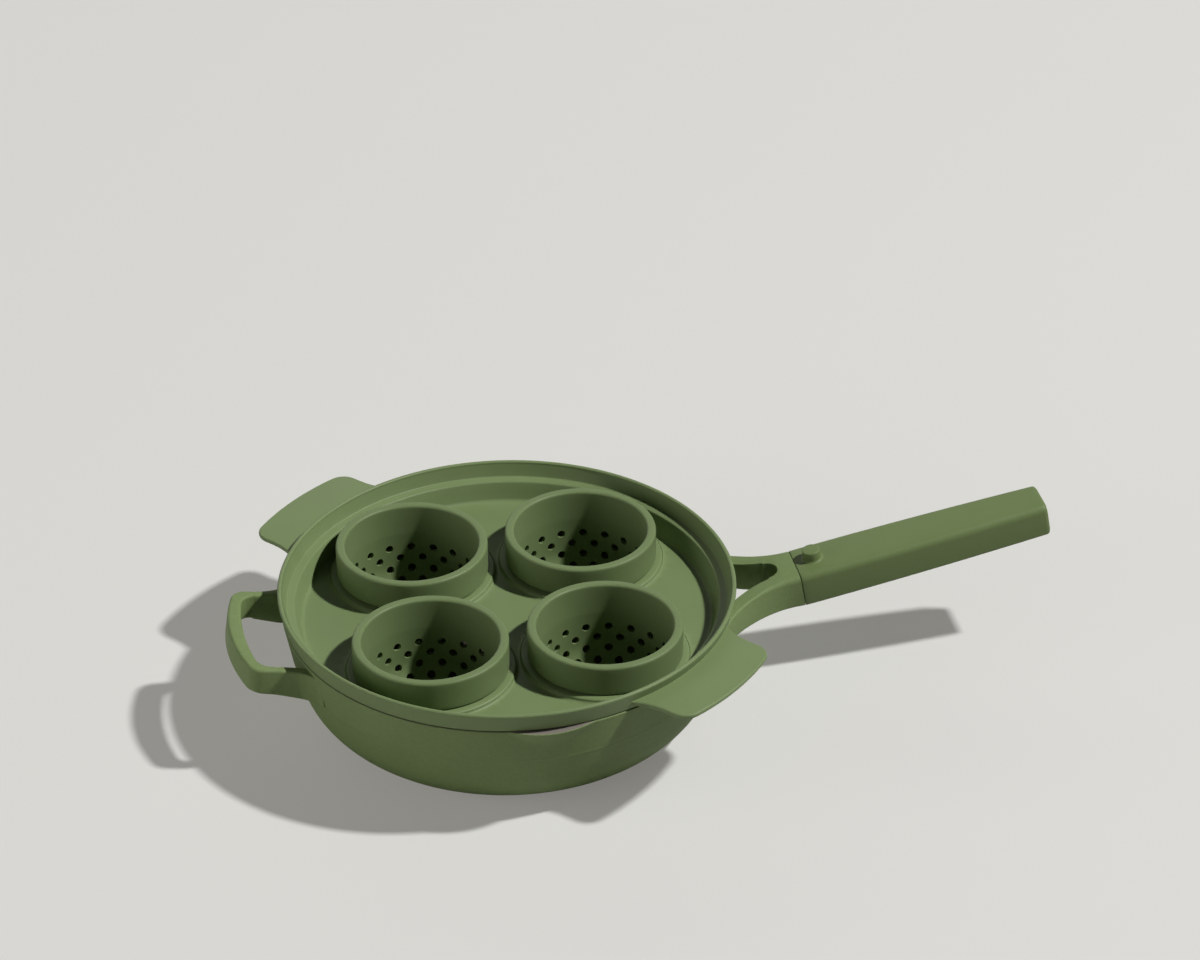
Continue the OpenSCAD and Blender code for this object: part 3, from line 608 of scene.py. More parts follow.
def fork_neck(h, s):
    """Neck: rounded rectangles whose half width follows the flare, less the gap between the arms.

    Near the wall they lean in with it and sink into it, by (depth x tan(lean) + sink) x share^4.
    """
    sink = h.root / 3
    crowding = 1.3
    run = (h.seam_x - s.rim_r + h.root) / math.cos(h.rise)
    x = run * np.linspace(1, 0, 46) ** crowding
    ease = np.minimum(1, x / h.neck_ease)
    top_r = h.grip_edge_r + (h.neck_root_edge_r - h.grip_edge_r) * ease
    low_r = h.grip_low_edge_r + (h.neck_root_edge_r - h.grip_low_edge_r) * ease
    bottom = -h.grip_h + (h.grip_h - h.neck_root_h) * x / run
    cut = section(neck_half_w(h, x), 0 * x, bottom, top_r, low_r, steps=9)
    rings = np.concatenate([np.broadcast_to(-x[:, None, None], cut.shape[:2] + (1,)), cut], -1)
    rings = placed(rings, h.rise, (h.seam_x, 0, h.seam_z))
    drift = (sink - cut[..., 1:] * math.tan(s.lower_lean)) * (x / run)[:, None, None] ** 4
    plan = rings[..., :2]
    rings[..., :2] = plan * (1 - drift / np.linalg.norm(plan, axis=-1, keepdims=True))
    neck = combine(skin("neck", rings), [fork_gap(h, s)], "DIFFERENCE")
    bevel = neck.modifiers.new("bevel", "BEVEL")
    bevel.limit_method = "ANGLE"
    bevel.angle_limit = math.radians(50)
    bevel.width = 0.0006
    bevel.segments = 3
    bevel.use_clamp_overlap = True
    return finished(neck)


def stud_places(s):
    """Three rings of studs, with 6, 12 and 18 of them: ring n has radius n x plate / 3.5."""
    rings_across = 3.5
    ring = np.repeat([1, 2, 3], [6, 12, 18])
    index = np.concatenate([np.arange(6 * r) for r in (1, 2, 3)])
    t = index * math.pi / 3 / ring
    r = ring * s.plate_r / rings_across
    return np.stack([r * np.cos(t), r * np.sin(t), 0 * r], -1)


def many(name, ring_pair, spots, turns=None):
    """Copies of one short skin (2, n, 3) at each spot, each turned by its own matrix."""
    turns = np.broadcast_to(np.eye(3), (len(spots), 3, 3)) if turns is None else turns
    n = ring_pair.shape[1]
    shape = np.concatenate([ring_pair.reshape(-1, 3), ring_pair.mean(1)])
    points = np.einsum("aij,bj->abi", turns, shape) + spots[:, None]
    k, beside = np.arange(n), (np.arange(n) + 1) % n
    quads = np.stack([k, beside, n + beside, n + k], -1)
    low = np.stack([beside, k, np.full(n, 2 * n)], -1)
    high = np.stack([n + k, n + beside, np.full(n, 2 * n + 1)], -1)
    shift = (np.arange(len(spots)) * len(shape))[:, None, None]
    faces = [(f + shift).reshape(-1, f.shape[1]) for f in (quads, np.concatenate([low, high]))]
    return piece_from(name, points.reshape(-1, 3), faces)


def disc_pair(r, low, high, sides=24):
    """Two rings of a short cylinder."""
    return turned(np.array([[r, low], [r, high]]), sides)


def tang_block(h):
    """Tang that runs on from the neck into the grip."""
    top = -h.tang_drop
    tang = block("tang", (-h.gap_to_seam / 2, -h.tang_w / 2, top - h.tang_h), (h.tang_len, h.tang_w / 2, top))
    return reshaped(tang, lambda points: placed(points, h.rise, (h.seam_x, 0, h.seam_z)))


def wall_middle(s):
    """Turned block up to the middle of the bowl's wall, which trims what sinks into it."""
    low, past = 0.003, 0.03
    above = s.height + past
    core = finer(np.concatenate([[[0, low]], corner_arc(s, s.wall / 2, low, steps=20)]), step=0.01)
    wall_z = np.linspace(core[-1, 1], above, 24)[1:]
    wall = np.stack([wall_radius(s, wall_z) - s.wall / 2, wall_z], -1)
    return skin("hollow", turned(np.concatenate([core, wall, [[0, above]]]), sides=192))


class POACHER_OT_pan(bpy.types.Operator):
    """Casts the bowl, spouts, helper loop, forked neck and tang as one piece"""

    bl_idname = "poacher.pan"
    bl_label = "Pan"

    def execute(self, context):
        s, h, f = context.scene.poacher_pan, context.scene.poacher_handle, context.scene.poacher_finish
        rings, tags = bowl_rings(s)
        bowl = skin("pan_casting", rings, tags)
        arms = combine(helper_loop(h, s), [fork_neck(h, s)], "UNION")
        combine(arms, [tang_block(h)], "UNION")
        combine(arms, [wall_middle(s)], "DIFFERENCE")
        stud_sink = 0.0006
        studs = many("studs", disc_pair(s.stud_r, 0, s.plate_depth + stud_sink), stud_places(s))
        faces = studs.data.polygons
        faces.foreach_set("material_index", np.full(len(faces), MACHINED, np.int32))
        coats = [
            coat_finish("pan_coat", f.coat),
            inner_finish("inner_coat", f.inner),
            turned_finish("machined_base", f.casting),
        ]
        for piece in (bowl, arms, studs):
            for material in coats:
                piece.data.materials.append(material)
        combine(bowl, [arms, studs], "UNION")
        smooth(bowl)
        wear_piece(bowl, "pan", "pan_coat", "pan_body", *coats)
        return {"FINISHED"}


def grip_half_w(h, x):
    """Half width of the grip: a parabola whose crown is a fifth of the way along."""
    crown = h.grip_len / 5
    return h.grip_w / 2 - (h.grip_w - h.grip_end_w) / 2 * ((x - crown) / (h.grip_len - crown)) ** 2


def grip_rings(h):
    """Rounded rectangles along the grip, drawn in by a quarter circle at the seam and at the nose."""
    seam_edge = 0.0005
    run = h.grip_len - h.grip_nose_r
    nose = run + h.grip_nose_r * np.sin(np.linspace(0, math.pi / 2, 9))
    start = h.seam_gap + seam_edge * (1 - np.cos(np.linspace(0, math.pi / 2, 5)))
    x = np.concatenate([start, np.linspace(start[-1], run, 44)[1:-1], nose])
    past = np.maximum(0, x - run)
    inset = h.grip_nose_r - np.sqrt(np.maximum(0, h.grip_nose_r**2 - past**2))
    lead = np.clip((start[-1] - x) / seam_edge, 0, 1)
    inset = inset + seam_edge * (1 - np.sqrt(1 - lead**2))
    depth = h.grip_h + (h.grip_end_h - h.grip_h) * x / h.grip_len
    half_w = grip_half_w(h, x) - inset
    cut = section(half_w, -inset, inset - depth, h.grip_edge_r, h.grip_low_edge_r, steps=10)
    return np.concatenate([np.broadcast_to(x[:, None, None], cut.shape[:2] + (1,)), cut], -1)


def peg_profile(h):
    """Section of the spatula peg (r, z): a sunk root, the fillet at its foot, its side and its round edge."""
    sink, skirt, skirt_drop = 0.003, 0.0004, 0.00003
    out = h.peg_r + h.peg_fillet_r
    root = [[0, -sink], [out + skirt, -sink], [out + skirt, -skirt_drop]]
    foot = arc((out, h.peg_fillet_r), h.peg_fillet_r, -math.pi / 2, -math.pi, steps=8)
    crown = arc((h.peg_r - h.peg_edge_r, h.peg_h - h.peg_edge_r), h.peg_edge_r, 0, math.pi / 2, steps=6)
    return np.concatenate([root, foot, crown, [[0, h.peg_h]]])


def grip_hollows(h):
    """Pocket for the tang, recess for the screw's head and hole for its shank, which cross by a margin."""
    margin, fit = 0.001, h.tang_fit
    low = -h.tang_drop - h.tang_h - fit
    half_w = h.tang_w / 2 + fit
    pocket = block("pocket", (-margin, -half_w, low), (h.tang_len + fit, half_w, -h.tang_drop + fit))
    at_screw = np.array([h.screw_x, 0, 0])
    seat = low - h.seat_t
    recess = disc_pair(h.head_hole_r, -h.grip_h - margin, seat, sides=48)
    shank = disc_pair(h.screw_hole_r, seat - margin, low + margin, sides=32)
    return [pocket, skin("recess", recess + at_screw), skin("shank", shank + at_screw)]


class POACHER_OT_grip(bpy.types.Operator):
    """Moulds the grip with its peg, its pocket for the tang and its screw recess"""

    bl_idname = "poacher.grip"
    bl_label = "Grip"

    def execute(self, context):
        h, f = context.scene.poacher_handle, context.scene.poacher_finish
        grip = skin("grip", grip_rings(h))
        peg = skin("peg", turned(peg_profile(h), sides=64) + np.array([h.peg_x, 0, 0]))
        combine(grip, [peg], "UNION")
        combine(grip, grip_hollows(h), "DIFFERENCE")
        reshaped(grip, lambda points: placed(points, h.rise, (h.seam_x, 0, h.seam_z)))
        grip.name = grip.data.name = "grip_moulding"
        smooth(grip)
        wear_piece(grip, "pan", "grip_resin", "handle_grip", grip_finish("grip_resin", f.grip))
        return {"FINISHED"}


class POACHER_OT_steel(bpy.types.Operator):
    """Finishes the steel plate, the screw and its washer"""

    bl_idname = "poacher.steel"
    bl_label = "Steel pieces"

    def execute(self, context):
        f = context.scene.poacher_finish
        for name, material in (
            ("induction_plate", plate_finish("plate_steel", f.steel)),
            ("grip_screw", steel_finish("screw_steel", f.steel)),
            ("lock_washer", steel_finish("washer_steel", f.steel)),
        ):
            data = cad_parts[name].data
            data.materials.clear()
            data.materials.append(material)
        return {"FINISHED"}


def cup_spots(s):
    """The four directions of the cups, from the back right one round to the left."""
    return s.turned + math.radians(45) + np.arange(4) * math.pi / 2


def tab_outline(s):
    """Closed outline of a tab, reaching along +X: inner arc, flare, corner, outer arc and mirrored."""
    corner_y = s.tab_half_w - s.tab_corner_r
    far = s.tab_reach - s.tab_corner_r
    corner_a = math.asin(corner_y / far)
    corner_x = far * math.cos(corner_a)
    flare_x = corner_x - s.tab_flare_back
    flare_y = s.tab_half_w + s.tab_flare_r
    inner_r = s.rim_r - s.taper - s.rim_t / 3
    middle = math.hypot(flare_x, flare_y)
    spread = math.acos((middle**2 + s.tab_flare_r**2 - inner_r**2) / (2 * middle * s.tab_flare_r))
    cut_a = spread - math.pi + math.atan2(flare_y, flare_x)
    flare = arc((flare_x, flare_y), s.tab_flare_r, cut_a, -math.pi / 2, steps=26)
    root_a = math.atan2(flare[0, 1], flare[0, 0])
    root = arc((0, 0), inner_r, 0, root_a, steps=30)[:-1]
    corner = arc((corner_x, corner_y), s.tab_corner_r, math.pi / 2, corner_a, steps=14)
    outer = arc((0, 0), s.tab_reach, corner_a, 0, steps=16)[1:]
    half = np.concatenate([root, flare, corner, outer])
    return np.concatenate([half, half[-2:0:-1] * [1, -1]])


def rounded_plate(name, outline, low, high, edge):
    """Plate on an outline with rounded edges: the outline drawn in along its normals by edge (1 - cos t)."""
    ahead = np.roll(outline, -1, 0) - np.roll(outline, 1, 0)
    ahead /= np.linalg.norm(ahead, axis=1, keepdims=True)
    inward = np.stack([-ahead[:, 1], ahead[:, 0]], -1)
    middle = outline.mean(0)
    inward *= np.sign(((middle - outline) * inward).sum())
    t = np.linspace(0, math.pi / 2, 7)
    draw = np.concatenate([edge * (1 - np.sin(t)), edge * (1 - np.cos(t))])
    z = np.concatenate([low + edge * (1 - np.cos(t)), high - edge * (1 - np.sin(t))])
    plan = outline + inward * draw[:, None, None]
    return skin(name, np.concatenate([plan, np.broadcast_to(z[:, None, None], plan.shape[:2] + (1,))], -1))


def tray_profile(s):
    """Section of the tray (r, z), from the middle of its underside out, over the rim and back inside."""
    floor = s.top - s.depth
    under = floor - s.floor_t
    fall = math.tan(s.wall_lean)
    ledge_r = s.rim_r - s.taper - s.rim_t
    ledge_z = s.top - s.ledge_depth
    ledge_in = ledge_r - s.ledge_w
    ledge_low = ledge_z - s.ledge_fall
    wall_foot = ledge_in - (ledge_low - floor) * fall
    plug_top = ledge_in + s.floor_t
    plug_foot = plug_top - (s.seat - under) * fall
    half = s.rim_t / 2
    # Just under half the rim's thickness, so that its two rounds don't touch
    rim_round = half * 0.98
    plug_round, slight, band_edge, nook, ledge_edge, swell = 0.003, 0.0004, 0.0011, 0.0012, 0.0014, 0.004
    return finer(softened([
        (0, under, 0),
        (plug_foot, under, plug_round),
        (plug_top, s.seat, slight),
        (s.rim_r - s.taper, s.seat, band_edge),
        (s.rim_r, s.top - half, swell),
        (s.rim_r, s.top, rim_round),
        (s.rim_r - s.rim_t, s.top, rim_round),
        (s.rim_r - s.rim_t, s.top - half, swell),
        (ledge_r, ledge_z, nook),
        (ledge_in, ledge_low, ledge_edge),
        (wall_foot, floor, s.fillet_r),
        (0, floor, 0),
    ], steps=7), step=0.006)


def collar_profile(s):
    """Section of a raised collar (r, z): its block in the floor, the fillet at its foot and its edge."""
    fillet, spread, lift, sunk, buried = 0.0016, 0.0018, 0.0008, 0.00005, 0.0004
    floor = s.top - s.depth
    low, high = floor - s.floor_t + buried, floor + s.collar_h
    foot = s.collar_r + spread
    return softened([
        (0, low, 0), (foot, low, 0), (foot, floor - sunk, 0),
        (s.collar_r, floor + lift, fillet), (s.collar_r, high, s.collar_edge_r), (0, high, 0),
    ], steps=7)


class POACHER_OT_tray(bpy.types.Operator):
    """Moulds the tray with its ledge, tabs and collared holes"""

    bl_idname = "poacher.tray"
    bl_label = "Poacher tray"

    def execute(self, context):
        s, f = context.scene.poacher_tray, context.scene.poacher_finish
        tray = skin("tray_moulding", turned(tray_profile(s), sides=320))
        spots = cup_spots(s)
        outline = tab_outline(s)
        tab_top = s.top - s.tab_drop
        tabs = []
        for angle in spots[[1, 3]]:
            tab = rounded_plate("tab", outline, tab_top - s.tab_t, tab_top, s.tab_edge_r)
            tabs.append(reshaped(tab, lambda points: spun(points, angle)))
        circle = np.stack([np.cos(spots), np.sin(spots), 0 * spots], -1) * s.cup_circle_r
        collar = turned(collar_profile(s), sides=128)
        collars = [skin("collar", collar + spot) for spot in circle]
        past = 0.002
        floor = s.top - s.depth
        bore = disc_pair(s.hole_r, floor - s.floor_t - past, floor + s.collar_h + past, sides=128)
        holes = [skin("hole", bore + spot) for spot in circle]
        combine(tray, tabs + collars, "UNION")
        combine(tray, holes, "DIFFERENCE")
        smooth(tray)
        wear_piece(tray, "tray", "tray_silicone", "poacher_tray", silicone_finish("tray_silicone", f.tray))
        return {"FINISHED"}


def cup_profile(c):
    """Closed line of a cup's section, from the middle of its bottom up the outside and down the inside."""
    shoulder = c.lip - c.upper_h
    body_r = c.bore_r + c.wall
    turn_z = c.lip - c.depth + c.corner_r
    big = c.corner_r + c.wall
    edge_z = c.lip - c.lip_edge_r
    nook, bore_bend = 0.0003, 0.02
    below, above, bore_end = 0.001, 0.01, 0.006
    outside = arc((body_r - big, turn_z), big, -math.pi / 2, 0, steps=16)
    foot = softened([
        (body_r, shoulder - below, 0), (body_r, shoulder, nook),
        (c.outer_r, shoulder, c.foot_r), (c.outer_r, shoulder + above, 0),
    ])
    outer_edge = arc((c.outer_r - c.lip_edge_r, edge_z), c.lip_edge_r, 0, math.pi / 2, steps=8)
    inner_edge = arc((c.mouth_r + c.lip_edge_r, edge_z), c.lip_edge_r, math.pi / 2, math.pi, steps=8)
    bore = softened([
        (c.mouth_r, edge_z, 0), (c.bore_r, shoulder, bore_bend), (c.bore_r, shoulder - bore_end, 0),
    ])
    inside = arc((c.bore_r - c.corner_r, turn_z), c.corner_r, 0, -math.pi / 2, steps=16)
    bottom = c.lip - c.depth
    line = np.concatenate([
        [[0, bottom - c.wall]], outside, foot, outer_edge, inner_edge, bore[1:], inside, [[0, bottom]],
    ])
    return finer(line, step=0.0026)


def drain_cutters(c):
    """Short cylinders square to the cup's inner face, in staggered rows, with one in the bottom's middle.

    At distance run along the face below the lip, the face stands upright for run up to its straight
    part, then bends by (run - straight) / radius, then lies flat.
    """
    straight = c.depth - c.corner_r
    counts = np.array([18] * 5 + [12, 12, 6])
    row = np.repeat(np.arange(len(counts)), counts)
    k = np.concatenate([np.arange(n) for n in counts])
    t = (row % 2) * math.pi / counts[row] + k * 2 * math.pi / counts[row]
    run = c.row_start + row * c.row_pitch
    bend = np.clip((run - straight) / c.corner_r, 0, math.pi / 2)
    flat = np.maximum(0, run - straight - c.corner_r * math.pi / 2)
    r = c.bore_r - c.corner_r + c.corner_r * np.cos(bend) - flat
    z = c.lip - np.minimum(run, straight) - c.corner_r * np.sin(bend)
    middle = (0, c.lip - c.depth, math.pi / 2, 0)
    r, z, bend, t = (np.append(rows, last) for rows, last in zip((r, z, bend, t), middle))
    out = np.stack([np.cos(bend) * np.cos(t), np.cos(bend) * np.sin(t), -np.sin(bend)], -1)
    side = np.stack([-np.sin(t), np.cos(t), 0 * t], -1)
    turns = np.stack([side, np.cross(out, side), out], -1)
    spots = np.stack([r * np.cos(t), r * np.sin(t), z], -1)
    return many("drains", disc_pair(c.hole_r, -2 * c.wall, 2 * c.wall), spots, turns)


class POACHER_OT_cups(bpy.types.Operator):
    """Moulds the four perforated cups, each turned in its hole by its own amount"""

    bl_idname = "poacher.cups"
    bl_label = "Cups"

    def execute(self, context):
        scene = context.scene
        s, c, f = scene.poacher_tray, scene.poacher_cup, scene.poacher_finish
        # The cups' darker tint is painted shade for their shaded insides
        material = silicone_finish("cup_silicone", f.cup)
        model = skin("cup", turned(cup_profile(c), sides=144))
        combine(model, [drain_cutters(c)], "DIFFERENCE")
        for direction, (name, own_turn) in zip(cup_spots(s), CUP_TURNS.items()):
            cup = bpy.data.objects.new(name + "_moulding", model.data.copy())
            cup.data.name = cup.name
            scene.collection.objects.link(cup)
            spot = np.array([math.cos(direction), math.sin(direction), 0]) * s.cup_circle_r
            reshaped(cup, lambda points: spun(points, math.radians(own_turn)) + spot)
            smooth(cup)
            wear_piece(cup, name.removeprefix("cup_") + "_cup", "cup_silicone", name, material)
        data = model.data
        bpy.data.objects.remove(model)
        bpy.data.meshes.remove(data)
        return {"FINISHED"}


def node_group(name, inputs, outputs):
    """Empty shader group with named float sockets. Returns it, its input node and its output node."""
    tree = bpy.data.node_groups.new(name, "ShaderNodeTree")
    for label, default in inputs:
        socket = tree.interface.new_socket(label, in_out="INPUT", socket_type="NodeSocketFloat")
        socket.default_value = default
    for label, kind in outputs:
        tree.interface.new_socket(label, in_out="OUTPUT", socket_type=kind)
    return tree, tree.nodes.new("NodeGroupInput"), tree.nodes.new("NodeGroupOutput")


def node(tree, kind, links=(), **settings):
    """A new node, with settings on it or its sockets, and links into its inputs."""
    made = tree.nodes.new(kind)
    for key, value in settings.items():
        if hasattr(made, key):
            setattr(made, key, value)
        else:
            made.inputs[key.replace("_", " ")].default_value = value
    for socket, source in links:
        tree.links.new(source, made.inputs[socket])
    return made


def math_node(tree, operation, a, b=None):
    """A Math node of two values, each a socket or a number."""
    made = tree.nodes.new("ShaderNodeMath")
    made.operation = operation
    for index, value in enumerate((a, b)):
        if value is None:
            continue
        if isinstance(value, (int, float)):
            made.inputs[index].default_value = value
        else:
            tree.links.new(value, made.inputs[index])
    return made.outputs[0]


def grain_group():
    """Fine sandy grain: two sizes of noise on Object coordinates, as a height and a shade round 0."""
    found = bpy.data.node_groups.get("sandy_grain")
    if found:
        return found
    tree, given, out = node_group(
        "sandy_grain", [("Scale", 1400.0)], [("Height", "NodeSocketFloat"), ("Shade", "NodeSocketFloat")]
    )
    coarser, coarse_share, mean_height = 0.31, 0.6, 0.8
    place = tree.nodes.new("ShaderNodeTexCoord").outputs["Object"]
    scale = given.outputs["Scale"]
    fine = node(
        tree, "ShaderNodeTexNoise", [("Vector", place), ("Scale", scale)], Detail=2.0, Roughness=0.6,
    )
    wide = math_node(tree, "MULTIPLY", scale, coarser)
    coarse = node(
        tree, "ShaderNodeTexNoise", [("Vector", place), ("Scale", wide)], Detail=3.0, Roughness=0.55,
    )
    swell = math_node(tree, "MULTIPLY", coarse.outputs["Fac"], coarse_share)
    height = math_node(tree, "ADD", fine.outputs["Fac"], swell)
    tree.links.new(height, out.inputs["Height"])
    shade = math_node(tree, "SUBTRACT", height, mean_height)
    tree.links.new(shade, out.inputs["Shade"])
    return tree


def cloud_group():
    """Broad soft variation from handling: slow noise on Object coordinates, as a value from 0 to 1."""
    found = bpy.data.node_groups.get("handling_clouds")
    if found:
        return found
    tree, given, out = node_group("handling_clouds", [("Scale", 22.0)], [("Value", "NodeSocketFloat")])
    place = tree.nodes.new("ShaderNodeTexCoord").outputs["Object"]
    slow = node(
        tree, "ShaderNodeTexNoise", [("Vector", place), ("Scale", given.outputs["Scale"])],
        Detail=5.0, Roughness=0.5, Distortion=0.4,
    )
    spread = node(tree, "ShaderNodeMapRange", [("Value", slow.outputs["Fac"])], From_Min=0.3, From_Max=0.7)
    tree.links.new(spread.outputs["Result"], out.inputs["Value"])
    return tree


def edge_group():
    """Mask along edges, used for paler edges that are a painted highlight with a little wear: how far a
    rounded normal departs from the face's own, from 0 to 1.
    """
    found = bpy.data.node_groups.get("edge_wear_highlight")
    if found:
        return found
    tree, given, out = node_group("edge_wear_highlight", [("Radius", 0.0012)], [("Mask", "NodeSocketFloat")])
    rounded = node(tree, "ShaderNodeBevel", [("Radius", given.outputs["Radius"])], samples=6)
    own = tree.nodes.new("ShaderNodeNewGeometry").outputs["Normal"]
    dot = tree.nodes.new("ShaderNodeVectorMath")
    dot.operation = "DOT_PRODUCT"
    tree.links.new(rounded.outputs["Normal"], dot.inputs[0])
    tree.links.new(own, dot.inputs[1])
    mask = node(
        tree, "ShaderNodeMapRange", [("Value", dot.outputs["Value"])],
        From_Min=0.985, From_Max=0.86, To_Min=0.0, To_Max=1.0,
    )
    tree.links.new(mask.outputs["Result"], out.inputs["Mask"])
    return tree


def ring_group():
    """Turned grooves: a sine of the distance from the Z axis, as a height from 0 to 1."""
    found = bpy.data.node_groups.get("turned_grooves")
    if found:
        return found
    tree, given, out = node_group("turned_grooves", [("Pitch", 0.0006)], [("Height", "NodeSocketFloat")])
    place = tree.nodes.new("ShaderNodeTexCoord").outputs["Object"]
    split = node(tree, "ShaderNodeSeparateXYZ", [("Vector", place)])
    squares = [math_node(tree, "MULTIPLY", split.outputs[a], split.outputs[a]) for a in ("X", "Y")]
    radius = math_node(tree, "SQRT", math_node(tree, "ADD", *squares))
    turns = math_node(tree, "DIVIDE", radius, given.outputs["Pitch"])
    wave = math_node(tree, "SINE", math_node(tree, "MULTIPLY", turns, 2 * math.pi))
    tree.links.new(math_node(tree, "ADD", math_node(tree, "MULTIPLY", wave, 0.5), 0.5), out.inputs["Height"])
    return tree


def use_group(tree, group, **values):
    """Places a group in a material, with its own values."""
    made = tree.nodes.new("ShaderNodeGroup")
    made.node_tree = group
    for key, value in values.items():
        made.inputs[key].default_value = value
    return made


def new_material(name, colour, roughness, specular=0.5, metallic=0.0):
    """A Principled material. Returns it, its tree and its shader."""
    material = bpy.data.materials.new(name)
    material.use_nodes = True
    material.diffuse_color = (*colour, 1)
    tree = material.node_tree
    shader = tree.nodes["Principled BSDF"]
    shader.inputs["Base Color"].default_value = (*colour, 1)
    shader.inputs["Roughness"].default_value = roughness
    shader.inputs["Specular IOR Level"].default_value = specular
    shader.inputs["Metallic"].default_value = metallic
    return material, tree, shader


def tinted(tree, shader, colour, masks):
    """Base Color = colour x (1 + the sum of amount x (value - middle) over the masks)."""
    total = None
    for value, middle, amount in masks:
        if middle:
            value = math_node(tree, "SUBTRACT", value, middle)
        part = math_node(tree, "MULTIPLY", value, amount)
        total = part if total is None else math_node(tree, "ADD", total, part)
    factor = math_node(tree, "ADD", total, 1.0)
    scale = tree.nodes.new("ShaderNodeVectorMath")
    scale.operation = "SCALE"
    scale.inputs[0].default_value = colour
    tree.links.new(factor, scale.inputs["Scale"])
    tree.links.new(scale.outputs["Vector"], shader.inputs["Base Color"])


def roughened(tree, shader, cloud, amount):
    """Roughness = the shader's own + amount x (cloud - 0.5)."""
    base = shader.inputs["Roughness"].default_value
    drift = math_node(tree, "MULTIPLY", math_node(tree, "SUBTRACT", cloud, 0.5), amount)
    tree.links.new(math_node(tree, "ADD", drift, base), shader.inputs["Roughness"])


def bumped(tree, shader, height, distance, strength):
    """Bump from a height into the shader's Normal."""
    bump = node(tree, "ShaderNodeBump", [("Height", height)], Distance=distance, Strength=strength)
    tree.links.new(bump.outputs["Normal"], shader.inputs["Normal"])


def grained(
    made, colour, grain, shade, clouds, cloud_shade, cloud_rough, bump, strength, edge=0, edge_wear_highlight_amount=0
):
    """Adds the grain, the clouds and, with an edge radius, paler edges to a material: a painted highlight with
    a little wear.
    """
    material, tree, shader = made
    sand = use_group(tree, grain_group(), Scale=grain)
    cloud = use_group(tree, cloud_group(), Scale=clouds).outputs["Value"]
    masks = [(sand.outputs["Shade"], 0, shade), (cloud, 0.5, cloud_shade)]
    if edge:
        # Paler edges: painted highlight along the rounded edges, with a little wear
        masks.append((use_group(tree, edge_group(), Radius=edge).outputs["Mask"], 0, edge_wear_highlight_amount))
    tinted(tree, shader, colour, masks)
    roughened(tree, shader, cloud, cloud_rough)
    bumped(tree, shader, sand.outputs["Height"], bump, strength)
    return material


def grooved(made, colour, pitch, shade, clouds, cloud_shade, cloud_rough, bump, strength):
    """Adds turned grooves and the clouds to a material."""
    material, tree, shader = made
    grooves = use_group(tree, ring_group(), Pitch=pitch).outputs["Height"]
    cloud = use_group(tree, cloud_group(), Scale=clouds).outputs["Value"]
    tinted(tree, shader, colour, [(grooves, 0.5, shade), (cloud, 0.5, cloud_shade)])
    roughened(tree, shader, cloud, cloud_rough)
    bumped(tree, shader, grooves, bump, strength)
    return material


def coat_finish(name, colour):
    """Sandy matte coat on the casting: grain in colour and bump, paler along the edges as a painted highlight
    with a little wear.
    """
    return grained(
        new_material(name, colour, roughness=0.6, specular=0.25), colour,
        grain=1250.0, shade=0.34, clouds=26.0, cloud_shade=0.05, cloud_rough=0.12,
        bump=0.00016, strength=0.55, edge=0.0011, edge_wear_highlight_amount=0.10,
    )


def inner_finish(name, colour):
    """Warm grey nonstick coat inside, smoother than the outside, with a fine fleck."""
    return grained(
        new_material(name, colour, roughness=0.38), colour,
        grain=2200.0, shade=0.22, clouds=15.0, cloud_shade=0.06, cloud_rough=0.14,
        bump=0.00006, strength=0.35,
    )


def grip_finish(name, colour):
    """Moulded resin with a fine spark-eroded texture and a soft touch."""
    return grained(
        new_material(name, colour, roughness=0.54, specular=0.3), colour,
        grain=2600.0, shade=0.10, clouds=30.0, cloud_shade=0.04, cloud_rough=0.12,
        # The edge amount paints a highlight along the rounded edges, with a little wear
        bump=0.00005, strength=0.4, edge=0.0010, edge_wear_highlight_amount=0.06,
    )


def silicone_finish(name, colour):
    """Smooth matte silicone: faint mould texture, soft variation from handling and a trace of sheen."""
    made = new_material(name, colour, roughness=0.5, specular=0.24)
    shader = made[2]
    shader.inputs["Sheen Weight"].default_value = 0.03
    shader.inputs["Sheen Roughness"].default_value = 0.4
    return grained(
        made, colour,
        grain=1900.0, shade=0.06, clouds=34.0, cloud_shade=0.05, cloud_rough=0.16,
        # The edge amount paints a highlight along the rounded edges, with a little wear
        bump=0.00004, strength=0.3, edge=0.0010, edge_wear_highlight_amount=0.10,
    )


def steel_finish(name, colour):
    """Satin steel: fine grain, with roughness that varies in small clouds."""
    return grained(
        new_material(name, colour, roughness=0.34, metallic=1.0), colour,
        grain=3000.0, shade=0.12, clouds=90.0, cloud_shade=0.1, cloud_rough=0.2,
        # The edge amount paints a highlight along the edges, with a little wear
        bump=0.00003, strength=0.4, edge=0.0004, edge_wear_highlight_amount=0.25,
    )


def plate_finish(name, colour):
    """Turned steel plate: fine grooves round the axis."""
    return grooved(
        new_material(name, colour, roughness=0.34, metallic=1.0), colour,
        pitch=0.0005, shade=0.12, clouds=40.0, cloud_shade=0.12, cloud_rough=0.16,
        bump=0.00003, strength=0.6,
    )


def turned_finish(name, colour):
    """Bare aluminium turned flat on a lathe: coarser grooves round the axis."""
    return grooved(
        new_material(name, colour, roughness=0.32, metallic=1.0), colour,
        pitch=0.0009, shade=0.10, clouds=25.0, cloud_shade=0.1, cloud_rough=0.14,
        bump=0.00005, strength=0.6,
    )


